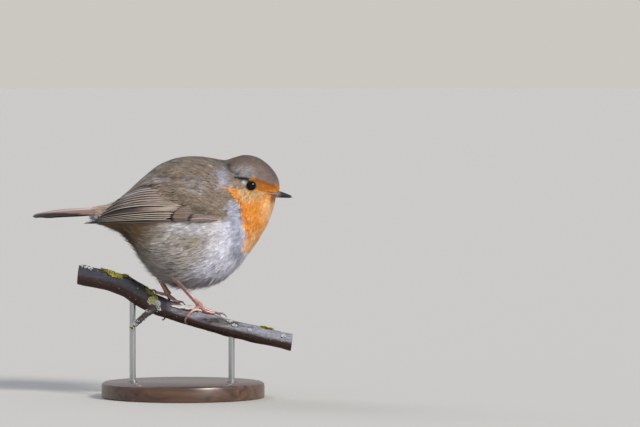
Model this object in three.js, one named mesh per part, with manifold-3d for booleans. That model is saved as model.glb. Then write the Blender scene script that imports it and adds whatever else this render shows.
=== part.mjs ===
// A European robin, life size and puffed up, standing on a short cut length of hazel branch.
// Two thin rods hold the branch above a round display base.
// Millimetres, +Z up, +X towards the bill, +Y the bird's left. Origin: centre of the base's underside.
import * as THREE from "three";
import { mergeVertices } from "three/addons/utils/BufferGeometryUtils.js";
import Module from "manifold-3d";

const wasm = await Module();
wasm.setup();

// ---------------------------------------------------------------- driving dimensions
const GAP = 0.35; // clear space between neighbouring solids
const HEAD_TURN = THREE.MathUtils.degToRad(-10); // the head looks a little to the bird's right
const HEAD_PIVOT_X = 24;

const EYE = { x: 36.9, z: 109.6, radius: 3.0, sunk: 1.75 };
const BILL = { gapeX: 45.2, tipX: 56.9 };

const WING = { thickness: 2.2, proud: 1.0, tipX: -52, shoulderX: 19 };
const TAIL = { rootX: -34, tipX: -77.3, rootHalfWidth: 3.6, tipHalfWidth: 7.6, thickness: 1.3 };

const BASE = { radius: 42, height: 8, chamfer: 1.2 };
const ROD = { radius: 1.6, intoBase: 4, intoBranch: 2.5, places: [-26, 25] };

const COLOURS = {
  olive: 0x7a6a55, orange: 0xdf7622, flank: 0xb8aa98, wing: 0x6c594a, tail: 0x7a6155,
  horn: 0x2c2628, eye: 0x140d0a, leg: 0xa9706a, claw: 0x6f5a55,
  bark: 0x6f6c69, base: 0x2b2320, steel: 0xb9bbbd,
};

// ---------------------------------------------------------------- making and cutting solids
// Moves each point of a closed three.js geometry to place(point), and returns it as a solid.
function warped(geometry, place) {
  const position = geometry.getAttribute("position");
  const point = new THREE.Vector3();
  for (let i = 0; i < position.count; i++) {
    point.fromBufferAttribute(position, i);
    position.setXYZ(i, ...place(point).toArray());
  }
  return solid(geometry);
}

// A closed geometry as a manifold-3d solid, turned the right way out.
function solid(geometry) {
  const bare = geometry.clone();
  bare.deleteAttribute("normal");
  bare.deleteAttribute("uv");
  const merged = mergeVertices(bare, 1e-4);
  const triVerts = new Uint32Array(merged.index.array);
  const make = () =>
    new wasm.Manifold(new wasm.Mesh({
      numProp: 3, vertProperties: merged.attributes.position.array, triVerts,
    }));
  const made = make();
  if (made.volume() > 0) return made;
  for (let i = 0; i < triVerts.length; i += 3) {
    [triVerts[i + 1], triVerts[i + 2]] = [triVerts[i + 2], triVerts[i + 1]];
  }
  return make();
}

function cut(piece, tools) {
  return tools.reduce((left, tool) => left.subtract(tool), piece);
}

// The largest connected piece, so that a cut leaves no crumbs.
function largest(piece) {
  return piece.decompose().reduce((a, b) => (b.volume() > a.volume() ? b : a));
}

const group = new THREE.Group();

function add(name, piece, colour, roughness = 0.8, metalness = 0) {
  const { numProp, vertProperties, triVerts } = largest(piece).getMesh();
  const places = new Float32Array((vertProperties.length / numProp) * 3);
  for (let i = 0; i < places.length / 3; i++) {
    places.set(vertProperties.subarray(i * numProp, i * numProp + 3), i * 3);
  }
  const geometry = new THREE.BufferGeometry()
    .setAttribute("position", new THREE.BufferAttribute(places, 3))
    .setIndex(new THREE.BufferAttribute(triVerts, 1));
  geometry.computeVertexNormals();
  const mesh = new THREE.Mesh(
    geometry, new THREE.MeshStandardMaterial({ color: colour, roughness, metalness }));
  mesh.name = name;
  group.add(mesh);
}

// A round bar along a curve, with radiusAt(share of its length) and a flattening of its section.
function bar(curve, radiusAt, { steps = 8, sides = 8, flat = 1 } = {}) {
  const { normals, binormals } = curve.computeFrenetFrames(steps, false);
  return warped(new THREE.CylinderGeometry(1, 1, 1, sides, steps), (p) => {
    const along = p.y + 0.5;
    const k = Math.round(along * steps);
    const r = radiusAt(along);
    return curve.getPointAt(along)
      .addScaledVector(normals[k], r * p.x)
      .addScaledVector(binormals[k], r * flat * p.z);
  });
}

const curveThrough = (points) => new THREE.CatmullRomCurve3(points, false, "centripetal");
const lerp = THREE.MathUtils.lerp;
const smoothstep = THREE.MathUtils.smoothstep;

// ---------------------------------------------------------------- body form
// Head, neck and trunk are one form drawn through ribs, from the face to the root of the tail.
// Each rib gives its upper and lower end in side view, its half width, and how far down the rib
// it is widest, as a share of its length.
const rib = (top, bottom, half, level) => ({ top, bottom, half, level });
const RIBS = [
  rib([50.3, 107.3], [50.3, 107.3], 0, 0.5), // the face behind the bill
  rib([50.2, 109.4], [49.2, 105.0], 3.1, 0.5),
  rib([49.6, 112.0], [47.4, 102.6], 5.5, 0.5),
  rib([47.9, 115.6], [46.9, 99.8], 8.0, 0.5),
  rib([44.2, 120.1], [46.2, 96.2], 10.2, 0.51),
  rib([38.6, 123.9], [45.0, 92.6], 11.7, 0.52), // crown to throat
  rib([31.8, 125.2], [43.5, 88.8], 12.8, 0.53),
  rib([26.3, 123.9], [41.3, 84.8], 14.8, 0.57),
  rib([21.8, 122.6], [38.3, 79.7], 17.8, 0.61), // nape to upper breast
  rib([16.0, 123.4], [34.2, 74.2], 20.8, 0.6),
  rib([9.0, 124.4], [28.2, 66.9], 24.0, 0.57),
  rib([1.0, 124.3], [20.5, 60.6], 26.0, 0.54),
  rib([-6.3, 122.7], [12.0, 57.8], 26.6, 0.52), // the deepest part of the belly
  rib([-13.4, 119.4], [3.5, 56.8], 25.9, 0.5),
  rib([-19.2, 114.8], [-4.2, 57.9], 23.9, 0.49),
  rib([-24.6, 110.0], [-12.0, 61.6], 20.6, 0.48),
  rib([-29.6, 105.4], [-19.0, 68.4], 16.6, 0.47),
  rib([-33.7, 102.1], [-24.4, 76.2], 12.8, 0.47), // rump to vent
  rib([-37.4, 99.9], [-31.0, 83.4], 9.6, 0.48),
  rib([-41.5, 98.4], [-38.2, 87.4], 7.2, 0.5),
  rib([-45.6, 97.2], [-44.6, 90.2], 4.6, 0.5),
  rib([-47.8, 94.2], [-47.8, 94.2], 0, 0.5), // the end of the tail coverts
];
const upperLine = curveThrough(RIBS.map((r) => new THREE.Vector3(r.top[0], 0, r.top[1])));
const lowerLine = curveThrough(RIBS.map((r) => new THREE.Vector3(r.bottom[0], 0, r.bottom[1])));
const RIB_SPAN = RIBS.length - 1;

// Half width and widest level at a share of the way along the ribs, eased between the ribs.
function girth(s) {
  const at = s * RIB_SPAN;
  const i = Math.min(Math.floor(at), RIB_SPAN - 1);
  const before = RIBS[Math.max(i - 1, 0)], a = RIBS[i], b = RIBS[i + 1];
  const after = RIBS[Math.min(i + 2, RIB_SPAN)];
  const ease = (key) => {
    const t = at - i;
    const m0 = (b[key] - before[key]) / 2, m1 = (after[key] - a[key]) / 2;
    const t2 = t * t, t3 = t2 * t;
    return (2 * t3 - 3 * t2 + 1) * a[key] + (t3 - 2 * t2 + t) * m0
      + (3 * t2 - 2 * t3) * b[key] + (t3 - t2) * m1;
  };
  return { half: Math.max(ease("half"), 0), level: ease("level") };
}

// Turns a point about the upright axis at the neck, by a share of the head's turn.
function turned(point, share = 1) {
  const angle = HEAD_TURN * share;
  const x = point.x - HEAD_PIVOT_X;
  return new THREE.Vector3(
    HEAD_PIVOT_X + x * Math.cos(angle) - point.y * Math.sin(angle),
    x * Math.sin(angle) + point.y * Math.cos(angle),
    point.z);
}

const turnShare = (s) => 1 - smoothstep(s * RIB_SPAN, 5, 10);

// How square the section is: 2 is an oval, and the back and rump are a little fuller.
const fullness = (s) => lerp(2.15, 2.5, smoothstep(s * RIB_SPAN, 8, 14));

// A point of the body form: s runs from face to tail, and around goes from the top over the right side.
function bodyPoint(s, around) {
  const top = upperLine.getPoint(s), bottom = lowerLine.getPoint(s);
  const { half, level } = girth(s);
  const squared = (v) => Math.sign(v) * Math.abs(v) ** (2 / fullness(s));
  const c = squared(Math.cos(around));
  const down = c > 0 ? level * (1 - c) : level - (1 - level) * c;
  const point = top.lerp(bottom, down);
  point.y = -half * squared(Math.sin(around));
  return turned(point, turnShare(s));
}

const bodyForm = warped(new THREE.SphereGeometry(1, 24, 31), (p) =>
  bodyPoint(Math.acos(THREE.MathUtils.clamp(p.y, -1, 1)) / Math.PI, Math.atan2(p.z, p.x)));

// Half the body's width at a place in side view, or 0 outside the body.
function bodySide(x, z) {
  const place = new THREE.Vector3(x, 0, z);
  const side = (s) => {
    const top = upperLine.getPoint(s);
    const down = lowerLine.getPoint(s).sub(top);
    const to = place.clone().sub(top);
    return { lead: down.x * to.z - down.z * to.x, share: to.dot(down) / down.lengthSq() };
  };
  let front = 1 / RIB_SPAN, back = 1 - 1 / RIB_SPAN;
  for (let i = 0; i < 40; i++) {
    const middle = (front + back) / 2;
    if (side(middle).lead > 0) back = middle;
    else front = middle;
  }
  const { half, level } = girth(front);
  const share = side(front).share;
  const reach = share < level ? level : 1 - level;
  const n = fullness(front);
  return half * Math.max(0, 1 - Math.abs((share - level) / reach) ** n) ** (1 / n);
}

// ---------------------------------------------------------------- wings
// The folded wing is a thin curved sheet: it lies on the flank, and behind the rump it runs
// straight on to its tip. Outside face of the right wing, as a distance from the middle plane.
function wingFace(x, z) {
  const onBody = bodySide(x, z) + WING.proud - 2.2 * smoothstep(x, 4, WING.shoulderX);
  const blade = Math.min(6.8 + 0.42 * (x - WING.tipX), 21) - 0.045 * Math.max(z - 92, 0) ** 2;
  const apart = onBody - blade;
  return (onBody + blade + Math.sqrt(apart * apart + 6)) / 2;
}

// The lower and upper edge of each panel of the folded wing, in side view, front to tip.
const edge = (...points) => curveThrough(points.map(([x, z]) => new THREE.Vector3(x, 0, z)));
const FEATHER_STEP = 0.35; // each feather's edge stands this much above the next
const PANELS = {
  coverts: {
    lower: edge([18.5, 92.6], [10, 91.2], [0, 91.3], [-5.2, 92.0]),
    upper: edge([17.5, 97.5], [9, 106.5], [-2, 111.5], [-12.6, 110.6]),
    feathers: 4, columns: 7, layer: 0.4,
  },
  secondaries: {
    lower: edge([-5.7, 93.6], [-20, 92.9], [-33, 92.2], [-43.4, 92.2]),
    upper: edge([-13.1, 110.0], [-22.5, 107.5], [-32, 102.9], [-43.7, 93.2]),
    feathers: 7, columns: 6, layer: 0,
  },
  primaries: {
    lower: edge([-5.7, 91.4], [-22, 90.2], [-38, 90.2], [WING.tipX, 89.8]),
    upper: edge([-5.9, 93.1], [-20, 92.45], [-33, 91.75], [WING.tipX, 90.5]),
    feathers: 3, columns: 8, layer: -0.4,
  },
};

// One panel of a wing; grow thickens it on every side, to make the pocket that it lies in.
function wingPanel({ lower, upper, feathers, columns, layer }, side, grow = 0) {
  const rows = grow ? Math.ceil(feathers / 2) : feathers * 2;
  return warped(new THREE.BoxGeometry(1, 1, 1, columns, 1, rows), (p) => {
    const low = lower.getPoint(p.x + 0.5), high = upper.getPoint(p.x + 0.5);
    const across = high.clone().sub(low);
    const place = low.addScaledVector(across, p.z + 0.5);
    place.addScaledVector(across.normalize(), 2 * grow * p.z);
    place.x -= 2 * grow * p.x;
    const rising = ((p.z + 0.5) * feathers) % 1 > 0.25 ? 0 : 1;
    const outer = wingFace(place.x, place.z) + layer + (grow || FEATHER_STEP * rising);
    place.y = side * (p.y > 0 ? outer : outer - WING.thickness - 2 * grow - FEATHER_STEP * rising);
    return place;
  });
}

// ---------------------------------------------------------------- tail
// Twelve folded feathers: nearly square, faintly notched at the end, and arched like a low roof.
function tailForm(grow = 0) {
  return warped(new THREE.BoxGeometry(1, 1, 1, 7, 10, 1), (p) => {
    const back = p.x + 0.5, across = 2 * p.y, out = Math.abs(across);
    const half = lerp(TAIL.rootHalfWidth, TAIL.tipHalfWidth, back) + grow;
    const end = TAIL.tipX + 1.3 * (1 - out) ** 2 + 2.2 * Math.max(out - 0.7, 0);
    const crown = 98.4 - 4.0 * back ** 1.2 - (1.1 + 1.6 * Math.sin(Math.PI * back)) * out ** 1.6;
    const thick = lerp(2.0, TAIL.thickness, back) * (1 - 0.45 * out * back);
    return new THREE.Vector3(
      lerp(TAIL.rootX + grow, end - grow, back), across * half,
      crown + (p.z > 0 ? grow : -thick - grow));
  });
}

// ---------------------------------------------------------------- head parts
function eyeball(side, grow = 0) {
  const place = new THREE.Vector3(EYE.x, side * (bodySide(EYE.x, EYE.z) - EYE.sunk), EYE.z);
  return solid(new THREE.SphereGeometry(EYE.radius + grow, 14, 10)
    .translate(...turned(place).toArray()));
}

// A half of the bill: the culmen or the keel, down to the line where the two halves close.
function billHalf(isUpper, grow = 0) {
  return warped(new THREE.CylinderGeometry(1, 1, 1, 10, 6), (p) => {
    const out = p.y + 0.5;
    const x = lerp(BILL.gapeX - grow, BILL.tipX - (isUpper ? 0 : 0.7), out);
    const closing = 105.1 - 1.9 * out ** 1.3;
    const half = lerp(2.9, 0.34, out ** 0.8) + grow;
    const rise = isUpper ? lerp(2.2, 0.45, out ** 1.25) : lerp(1.9, 0.3, out);
    const bottom = -Math.min(p.z, 0) * grow;
    const lift = Math.max(p.z, 0) * (rise + grow) + 0.5 * GAP - bottom;
    const z = closing + (isUpper ? lift : -lift);
    return turned(new THREE.Vector3(x, half * p.x, z));
  });
}

// ---------------------------------------------------------------- perch
const branchAt = (x, z, radius) => ({ x, z, radius });
const BRANCH = [
  branchAt(-54, 63.3, 5.0), branchAt(-40, 60.4, 5.0), branchAt(-29, 56.9, 5.3),
  branchAt(-22, 52.6, 5.4), branchAt(-16, 48.9, 5.0), branchAt(-4, 44.2, 4.6),
  branchAt(9.4, 39.9, 4.45), branchAt(23, 36.1, 4.4), branchAt(36, 33.0, 4.45),
  branchAt(56, 28.3, 4.3),
];
const branchSway = (x) => 0.0008 * (x - 5) ** 2; // it bows a little away to the bird's left
const branchLine = curveThrough(BRANCH.map((b) => new THREE.Vector3(b.x, branchSway(b.x), b.z)));
const BRANCH_STEPS = 20;

// The centre, the radius and an upright frame of the branch at a place along X.
function branchFrame(x) {
  let low = 0, high = 1;
  for (let i = 0; i < 30; i++) {
    const middle = (low + high) / 2;
    if (branchLine.getPoint(middle).x < x) low = middle;
    else high = middle;
  }
  const at = low * (BRANCH.length - 1);
  const i = Math.min(Math.floor(at), BRANCH.length - 2);
  const along = branchLine.getTangent(low);
  const up = new THREE.Vector3(0, 0, 1).addScaledVector(along, -along.z).normalize();
  return {
    centre: branchLine.getPoint(low), along, up,
    right: along.clone().cross(up),
    radius: lerp(BRANCH[i].radius, BRANCH[i + 1].radius, smoothstep(at - i, 0, 1)),
  };
}

// A point by the branch: along X, degrees from its top over its right side, and height off the bark.
function byBranch(x, degrees, height) {
  const { centre, up, right, radius } = branchFrame(x);
  const angle = THREE.MathUtils.degToRad(degrees);
  return centre.addScaledVector(up, (radius + height) * Math.cos(angle))
    .addScaledVector(right, (radius + height) * Math.sin(angle));
}

function branch() {
  const first = BRANCH[0].x, last = BRANCH[BRANCH.length - 1].x;
  return warped(new THREE.CylinderGeometry(1, 1, 1, 12, BRANCH_STEPS), (p) => {
    const x = lerp(first, last, p.y + 0.5);
    const { centre, up, right, radius } = branchFrame(x);
    return centre.addScaledVector(up, radius * p.x).addScaledVector(right, radius * p.z);
  });
}

// The stump of a side twig, low on the right-hand side of the branch, behind the feet.
function twig(grow = 0) {
  const crook = byBranch(-15, 126, 2.2);
  const end = crook.clone().add(new THREE.Vector3(-9.5, -3.2, -8.2));
  return bar(curveThrough([byBranch(-13, 122, -3), crook, end]), (t) => lerp(1.9, 1.1, t) + grow,
    { steps: 6, sides: 8 });
}

// ---------------------------------------------------------------- legs
// Each foot stands on the top of the branch. A toe's path gives points by the branch: how far
// along X from the foot, degrees from the top over the right side, and height off the bark.
const TOE_HEIGHT = 1.25;
const FEET = {
  right: {
    x: 7.1, degrees: 4, heel: [-4.6, -15.5, 63.0],
    toes: {
      hind: { path: [[0, 2, 2.0], [-2.0, 30, 1.7], [-3.8, 62, 1.4], [-4.8, 86, TOE_HEIGHT]],
        claw: [[-4.9, 92, 1.2], [-4.9, 110, 1.7], [-3.2, 136, 0.75]] },
      middle: { path: [[0, 0, 2.1], [3.3, -2, 1.7], [6.9, -6, 1.3], [9.9, -8, TOE_HEIGHT]],
        claw: [[10.3, -8, 1.2], [12.4, -9, 1.6], [14.1, -12, 0.6]] },
      outer: { path: [[0, 8, 2.0], [2.8, 22, 1.5], [5.4, 20, 1.3], [7.6, 14, TOE_HEIGHT]],
        claw: [[8.0, 14, 1.15], [9.8, 16, 1.5], [11.2, 19, 0.55]] },
      inner: { path: [[0, -8, 2.0], [1.8, -34, 1.4], [3.6, -66, 1.25], [4.6, -98, TOE_HEIGHT]],
        claw: [[4.7, -102, 1.15], [5.0, -124, 1.6], [4.6, -146, 0.6]] },
    },
  },
  left: {
    x: -10.0, degrees: -4, heel: [-17.2, 8.0, 70.0],
    toes: {
      hind: { path: [[0, -2, 2.0], [-2.6, 8, 1.6], [-5.0, 18, 1.3], [-6.6, 24, TOE_HEIGHT]],
        claw: [[-7.0, 25, 1.15], [-8.6, 30, 1.6], [-9.6, 40, 0.7]] },
      middle: { path: [[0, 0, 2.1], [3, -16, 1.6], [6, -38, 1.3], [8.4, -62, TOE_HEIGHT]],
        claw: [[8.6, -66, 1.15], [9.8, -84, 1.6], [10.2, -104, 0.6]] },
      outer: { path: [[0, -10, 2.0], [1.2, -44, 1.4], [2.2, -84, 1.25], [2.4, -124, TOE_HEIGHT]],
        claw: [[2.3, -128, 1.15], [1.8, -152, 1.7], [1.0, -178, 0.9]] },
      inner: { path: [[0, 8, 2.0], [2.2, 22, 1.5], [4.4, 26, 1.3], [6.2, 20, TOE_HEIGHT]],
        claw: [[6.6, 20, 1.15], [8.2, 20, 1.5], [9.4, 24, 0.55]] },
    },
  },
};
const TOE_RADIUS = { hind: 0.82, middle: 0.78, outer: 0.72, inner: 0.72 };
const TOE_JOINTS = { hind: 2, middle: 4, outer: 4, inner: 3 };
const FOOT_BALL = 1.25;

const footLine = (foot, points) => curveThrough(points.map(([dx, degrees, height]) =>
  byBranch(foot.x + dx, foot.degrees + degrees, height)));

function toe(foot, digit, grow = 0) {
  const radius = TOE_RADIUS[digit];
  return bar(footLine(foot, foot.toes[digit].path), (t) =>
    radius * (1.04 - 0.22 * t + 0.07 * Math.cos(2 * Math.PI * TOE_JOINTS[digit] * t)) + grow,
  { steps: 8, sides: 6 });
}

function claw(foot, digit) {
  const size = digit === "hind" ? 0.62 : 0.5;
  return bar(footLine(foot, foot.toes[digit].claw), (t) => size * (1 - 0.86 * t), { steps: 5, sides: 6 });
}

const footBall = (foot, grow = 0) => solid(new THREE.SphereGeometry(FOOT_BALL + grow, 8, 6)
  .translate(...byBranch(foot.x, foot.degrees, 2.3).toArray()));

function tarsus(foot, grow = 0) {
  const heel = new THREE.Vector3(...foot.heel);
  const sole = byBranch(foot.x, foot.degrees, 2.3);
  const shaft = bar(new THREE.LineCurve3(heel, sole), (t) =>
    lerp(1.3, 1.05, Math.sin(Math.PI * Math.min(t, 0.97))) + grow, { steps: 6, sides: 8, flat: 0.78 });
  return shaft.add(footBall(foot, grow));
}

// ---------------------------------------------------------------- stand
// An upright rod from inside the base to a little way inside the branch.
function rod(x, grow = 0) {
  const { centre, radius } = branchFrame(x);
  const from = BASE.height - ROD.intoBase - grow, to = centre.z - radius + ROD.intoBranch + grow;
  return solid(new THREE.CylinderGeometry(ROD.radius + grow, ROD.radius + grow, to - from, 16)
    .rotateX(Math.PI / 2)
    .translate(x, branchSway(x), (from + to) / 2));
}

function baseDisc() {
  const { radius, height, chamfer } = BASE;
  const profile = [
    [0, 0], [radius, 0], [radius, height - chamfer], [radius - chamfer, height], [0, height],
  ].map(([r, z]) => new THREE.Vector2(r, z));
  return solid(new THREE.LatheGeometry(profile, 48).rotateX(Math.PI / 2));
}

// ---------------------------------------------------------------- assembly
const SIDES = { right: -1, left: 1 };

// The slanting lines, in side view, that part the head from the neck and the neck from the trunk.
const PARTINGS = { head: [[20.5, 125.8], [43.4, 90.4]], trunk: [[9.5, 128.0], [40.4, 79.0]] };

// The slab across the body between the two partings, made wider or thinner by grow.
function neckSlab(grow) {
  const reach = 60;
  return warped(new THREE.BoxGeometry(1, 1, 1), (p) => {
    const [top, bottom] = p.x > 0 ? PARTINGS.head : PARTINGS.trunk;
    const stretch = p.z > 0 ? -0.4 : 1.4;
    return new THREE.Vector3(
      lerp(top[0], bottom[0], stretch) + 2 * grow * p.x, p.y * reach * 2,
      lerp(top[1], bottom[1], stretch));
  });
}

const neck = bodyForm.intersect(neckSlab(-GAP / 2));
const ends = bodyForm.subtract(neckSlab(GAP / 2)).decompose();
const [head, trunk] = ends.sort((a, b) => b.boundingBox().max[0] - a.boundingBox().max[0]);

const eyes = Object.entries(SIDES).map(([name, side]) => [name, side]);
add("head", cut(head, [
  ...eyes.map(([, side]) => eyeball(side, GAP)), billHalf(true, GAP), billHalf(false, GAP),
]), COLOURS.orange);
for (const [name, side] of eyes) add(`eye_${name}`, eyeball(side), COLOURS.eye, 0.1);
add("bill_upper", billHalf(true), COLOURS.horn, 0.4);
add("bill_lower", billHalf(false), COLOURS.horn, 0.4);

const pockets = Object.values(SIDES).flatMap((side) =>
  Object.values(PANELS).map((panel) => wingPanel(panel, side, GAP)));
add("neck", cut(neck, pockets), COLOURS.olive);
add("trunk", cut(trunk, [
  ...pockets, tailForm(GAP), ...Object.values(FEET).map((foot) => tarsus(foot, GAP)),
]), COLOURS.flank);
add("tail", tailForm(), COLOURS.tail);

for (const [name, side] of Object.entries(SIDES)) {
  const done = [];
  for (const [panel, shape] of Object.entries(PANELS)) {
    add(`wing_${name}_${panel}`, cut(wingPanel(shape, side), done), COLOURS.wing);
    done.push(wingPanel(shape, side, GAP));
  }
}

for (const [name, foot] of Object.entries(FEET)) {
  add(`tarsus_${name}`, tarsus(foot), COLOURS.leg, 0.55);
  const done = [tarsus(foot, GAP)];
  for (const digit of Object.keys(foot.toes)) {
    add(`toe_${name}_${digit}`, cut(toe(foot, digit), done), COLOURS.leg, 0.55);
    done.push(toe(foot, digit, GAP));
  }
  for (const digit of Object.keys(foot.toes)) {
    add(`claw_${name}_${digit}`, cut(claw(foot, digit), done), COLOURS.claw, 0.4);
  }
}

add("perch_branch", cut(branch(), [twig(GAP), ...ROD.places.map((x) => rod(x, GAP))]), COLOURS.bark);
add("perch_twig", twig(), COLOURS.bark);

add("stand_base", cut(baseDisc(), ROD.places.map((x) => rod(x, GAP))), COLOURS.base, 0.45);
ROD.places.forEach((x, i) => add(`stand_rod_${i + 1}`, rod(x), COLOURS.steel, 0.3, 1));

export default group;
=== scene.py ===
"""A European robin, life size and puffed up, on a cut length of hazel branch over a display stand."""

import math

import bmesh
import bpy
import numpy as np
from bpy.props import FloatProperty, FloatVectorProperty, IntProperty, PointerProperty
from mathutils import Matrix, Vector, kdtree, noise


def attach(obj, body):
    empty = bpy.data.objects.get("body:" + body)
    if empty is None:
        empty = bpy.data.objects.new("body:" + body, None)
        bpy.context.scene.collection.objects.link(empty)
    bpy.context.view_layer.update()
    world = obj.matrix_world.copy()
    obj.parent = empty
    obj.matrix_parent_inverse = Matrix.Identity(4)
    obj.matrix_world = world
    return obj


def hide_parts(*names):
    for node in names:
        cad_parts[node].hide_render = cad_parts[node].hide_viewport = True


bl_info = {
    "name": "Perched Robin",
    "version": (1, 0, 0),
    "blender": (4, 5, 0),
    "location": "3D View > Sidebar > Robin",
    "description": "Builds a feathered robin on a hazel perch and display stand around its CAD frame",
    "category": "Object",
}

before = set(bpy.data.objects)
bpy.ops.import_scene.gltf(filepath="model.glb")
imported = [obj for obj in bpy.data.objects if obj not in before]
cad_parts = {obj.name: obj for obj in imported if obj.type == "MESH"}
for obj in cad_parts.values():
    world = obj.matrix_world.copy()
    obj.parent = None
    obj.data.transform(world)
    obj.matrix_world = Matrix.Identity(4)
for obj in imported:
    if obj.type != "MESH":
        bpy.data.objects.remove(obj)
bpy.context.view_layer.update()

MM = 0.001
TAU = 2 * math.pi


# ---------------------------------------------------------------- colours and node helper
def linear(hex_colour):
    """An sRGB hex colour as linear red, green and blue."""
    parts = [int(hex_colour[i:i + 2], 16) / 255 for i in (0, 2, 4)]
    return [p / 12.92 if p <= 0.04045 else ((p + 0.055) / 1.055) ** 2.4 for p in parts]


def colour(name, description, hex_colour):
    """A colour setting whose default is an sRGB hex value."""
    return FloatVectorProperty(
        name=name, description=description, default=linear(hex_colour),
        subtype="COLOR", size=3, min=0, max=1)


def length_prop(name, description, millimetres):
    """A length setting, given in millimetres and kept in metres."""
    return FloatProperty(
        name=name, description=description, default=millimetres * MM, min=0,
        unit="LENGTH", subtype="DISTANCE", precision=5)


def node(tree, kind, settings=None, **links):
    """Adds a shader node. Settings and links are attributes or input sockets, by name with _ for spaces."""
    made = tree.nodes.new(kind)
    for key, value in {**(settings or {}), **links}.items():
        name = key.replace("_", " ") if isinstance(key, str) else key
        if isinstance(key, str) and hasattr(made, key) and not isinstance(value, bpy.types.NodeSocket):
            setattr(made, key, value)
        elif isinstance(value, bpy.types.NodeSocket):
            tree.links.new(value, made.inputs[name])
        else:
            made.inputs[name].default_value = value
    return made


def material(name, **sockets):
    """A new material with a Principled shader, its constants set on the shader's own sockets."""
    made = bpy.data.materials.new(name)
    made.use_nodes = True
    shader = made.node_tree.nodes["Principled BSDF"]
    for key, value in sockets.items():
        shader.inputs[key.replace("_", " ")].default_value = value
    return made, made.node_tree, shader


def grain(tree, size, detail, stretch=None, **settings):
    """Noise about size millimetres across, fixed to the piece. A stretch below 1 draws it out."""
    place = node(tree, "ShaderNodeTexCoord").outputs["Object"]
    if stretch:
        place = node(tree, "ShaderNodeMapping", {"Scale": stretch}, Vector=place).outputs["Vector"]
    settings = {"Scale": 1 / (size * MM), "Detail": detail, **settings}
    return node(tree, "ShaderNodeTexNoise", settings, Vector=place).outputs["Fac"]


def ranged(tree, value, **ends):
    """A value moved from the range From_Min to From_Max to the range To_Min to To_Max."""
    return node(tree, "ShaderNodeMapRange", ends, Value=value).outputs[0]


def summed(tree, value, factor, added, **settings):
    """A value times a factor, with another value added."""
    return node(tree, "ShaderNodeMath", {
        "operation": "MULTIPLY_ADD", 0: value, 1: factor, 2: added, **settings}).outputs[0]


def between(tree, low, high, share):
    """The colour from low to high by a share. Each is a value or another node's output."""
    low, high = (v if isinstance(v, bpy.types.NodeSocket) else (*v, 1) for v in (low, high))
    return node(tree, "ShaderNodeMix", {"data_type": "RGBA", 0: share, 6: low, 7: high}).outputs[2]


def scaled(tree, tone, share):
    """A colour made darker or lighter by a share."""
    return node(tree, "ShaderNodeVectorMath", {"operation": "SCALE", 0: tone}, Scale=share).outputs[0]


def waves(tree, value, factor):
    """Waves from -1 to 1 along a value times a factor."""
    phase = node(tree, "ShaderNodeMath", {"operation": "MULTIPLY", 0: value, 1: factor})
    return node(tree, "ShaderNodeMath", {"operation": "SINE", 0: phase.outputs[0]}).outputs[0]


def attribute(tree, name):
    """A piece's own number at each point."""
    return node(tree, "ShaderNodeAttribute", {"attribute_name": name}).outputs["Fac"]


def relief(tree, shader, height, strength, depth):
    """Raises and sinks a surface with height, by up to depth millimetres."""
    bump = node(tree, "ShaderNodeBump", {"Strength": strength, "Distance": depth * MM}, Height=height)
    tree.links.new(bump.outputs["Normal"], shader.inputs["Normal"])


# ---------------------------------------------------------------- small maths
def ramp(x, low, high):
    """0 below low, 1 above high, and a smooth rise between."""
    t = np.clip((np.asarray(x, float) - low) / (high - low), 0, 1)
    return t * t * (3 - 2 * t)


def mix(a, b, t):
    """From a to b by the share t."""
    return a + (b - a) * t


def blend(a, b, t):
    """From colour or point a to b by shares t, which have one axis fewer."""
    return a + (b - a) * np.asarray(t, float)[..., None]


def layered(tone, pick, layers):
    """A tone under layers of other colours, each a name in pick and its share."""
    for key, share in layers:
        tone = blend(tone, pick[key], share)
    return tone


def unit(v):
    """Vectors along the last axis, made one long."""
    return v / np.maximum(np.linalg.norm(v, axis=-1, keepdims=True), 1e-9)


def spline(points, at):
    """Places on the centripetal Catmull-Rom line through points, at shares from 0 to 1 of its points."""
    p = np.asarray(points, float)
    p = np.concatenate([[2 * p[0] - p[1]], p, [2 * p[-1] - p[-2]]])
    at = np.clip(np.asarray(at, float), 0, 1) * (len(points) - 1)
    i = np.minimum(at.astype(int), len(points) - 2)
    t = (at - i)[..., None]
    p0, p1, p2, p3 = p[i], p[i + 1], p[i + 2], p[i + 3]
    d0, d1, d2 = (np.sqrt(np.linalg.norm(b - a, axis=-1, keepdims=True)) + 1e-6
                  for a, b in ((p0, p1), (p1, p2), (p2, p3)))
    m1 = ((p1 - p0) / d0 - (p2 - p0) / (d0 + d1) + (p2 - p1) / d1) * d1
    m2 = ((p2 - p1) / d1 - (p3 - p1) / (d1 + d2) + (p3 - p2) / d2) * d1
    return p1 + t * (m1 + t * (3 * (p2 - p1) - 2 * m1 - m2 + t * (2 * (p1 - p2) + m1 + m2)))


def line_distance(points, x, z):
    """Distance in millimetres from a line through points."""
    nearest = np.full(np.shape(x), 1e9)
    for (ax, az), (bx, bz) in zip(points[:-1], points[1:]):
        dx, dz = bx - ax, bz - az
        t = np.clip(((x - ax) * dx + (z - az) * dz) / (dx * dx + dz * dz), 0, 1)
        nearest = np.minimum(nearest, np.hypot(x - ax - t * dx, z - az - t * dz))
    return nearest


def outline_distance(corners, x, z):
    """Distance in millimetres inside (positive) or outside (negative) a closed outline."""
    closed = [*corners, corners[0]]
    inside = np.zeros(np.shape(x), bool)
    for (ax, az), (bx, bz) in zip(closed[:-1], closed[1:]):
        inside ^= ((az > z) != (bz > z)) & (x < ax + (bx - ax) * (z - az) / ((bz - az) or 1e-9))
    return line_distance(closed, x, z) * np.where(inside, 1, -1)


def round_end(t, start):
    """1 up to a start, then the fall of a round end to 0 at t = 1."""
    return np.sqrt(np.clip(1 - np.maximum((t - start) / (1 - start), 0) ** 2, 0, 1))


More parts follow.
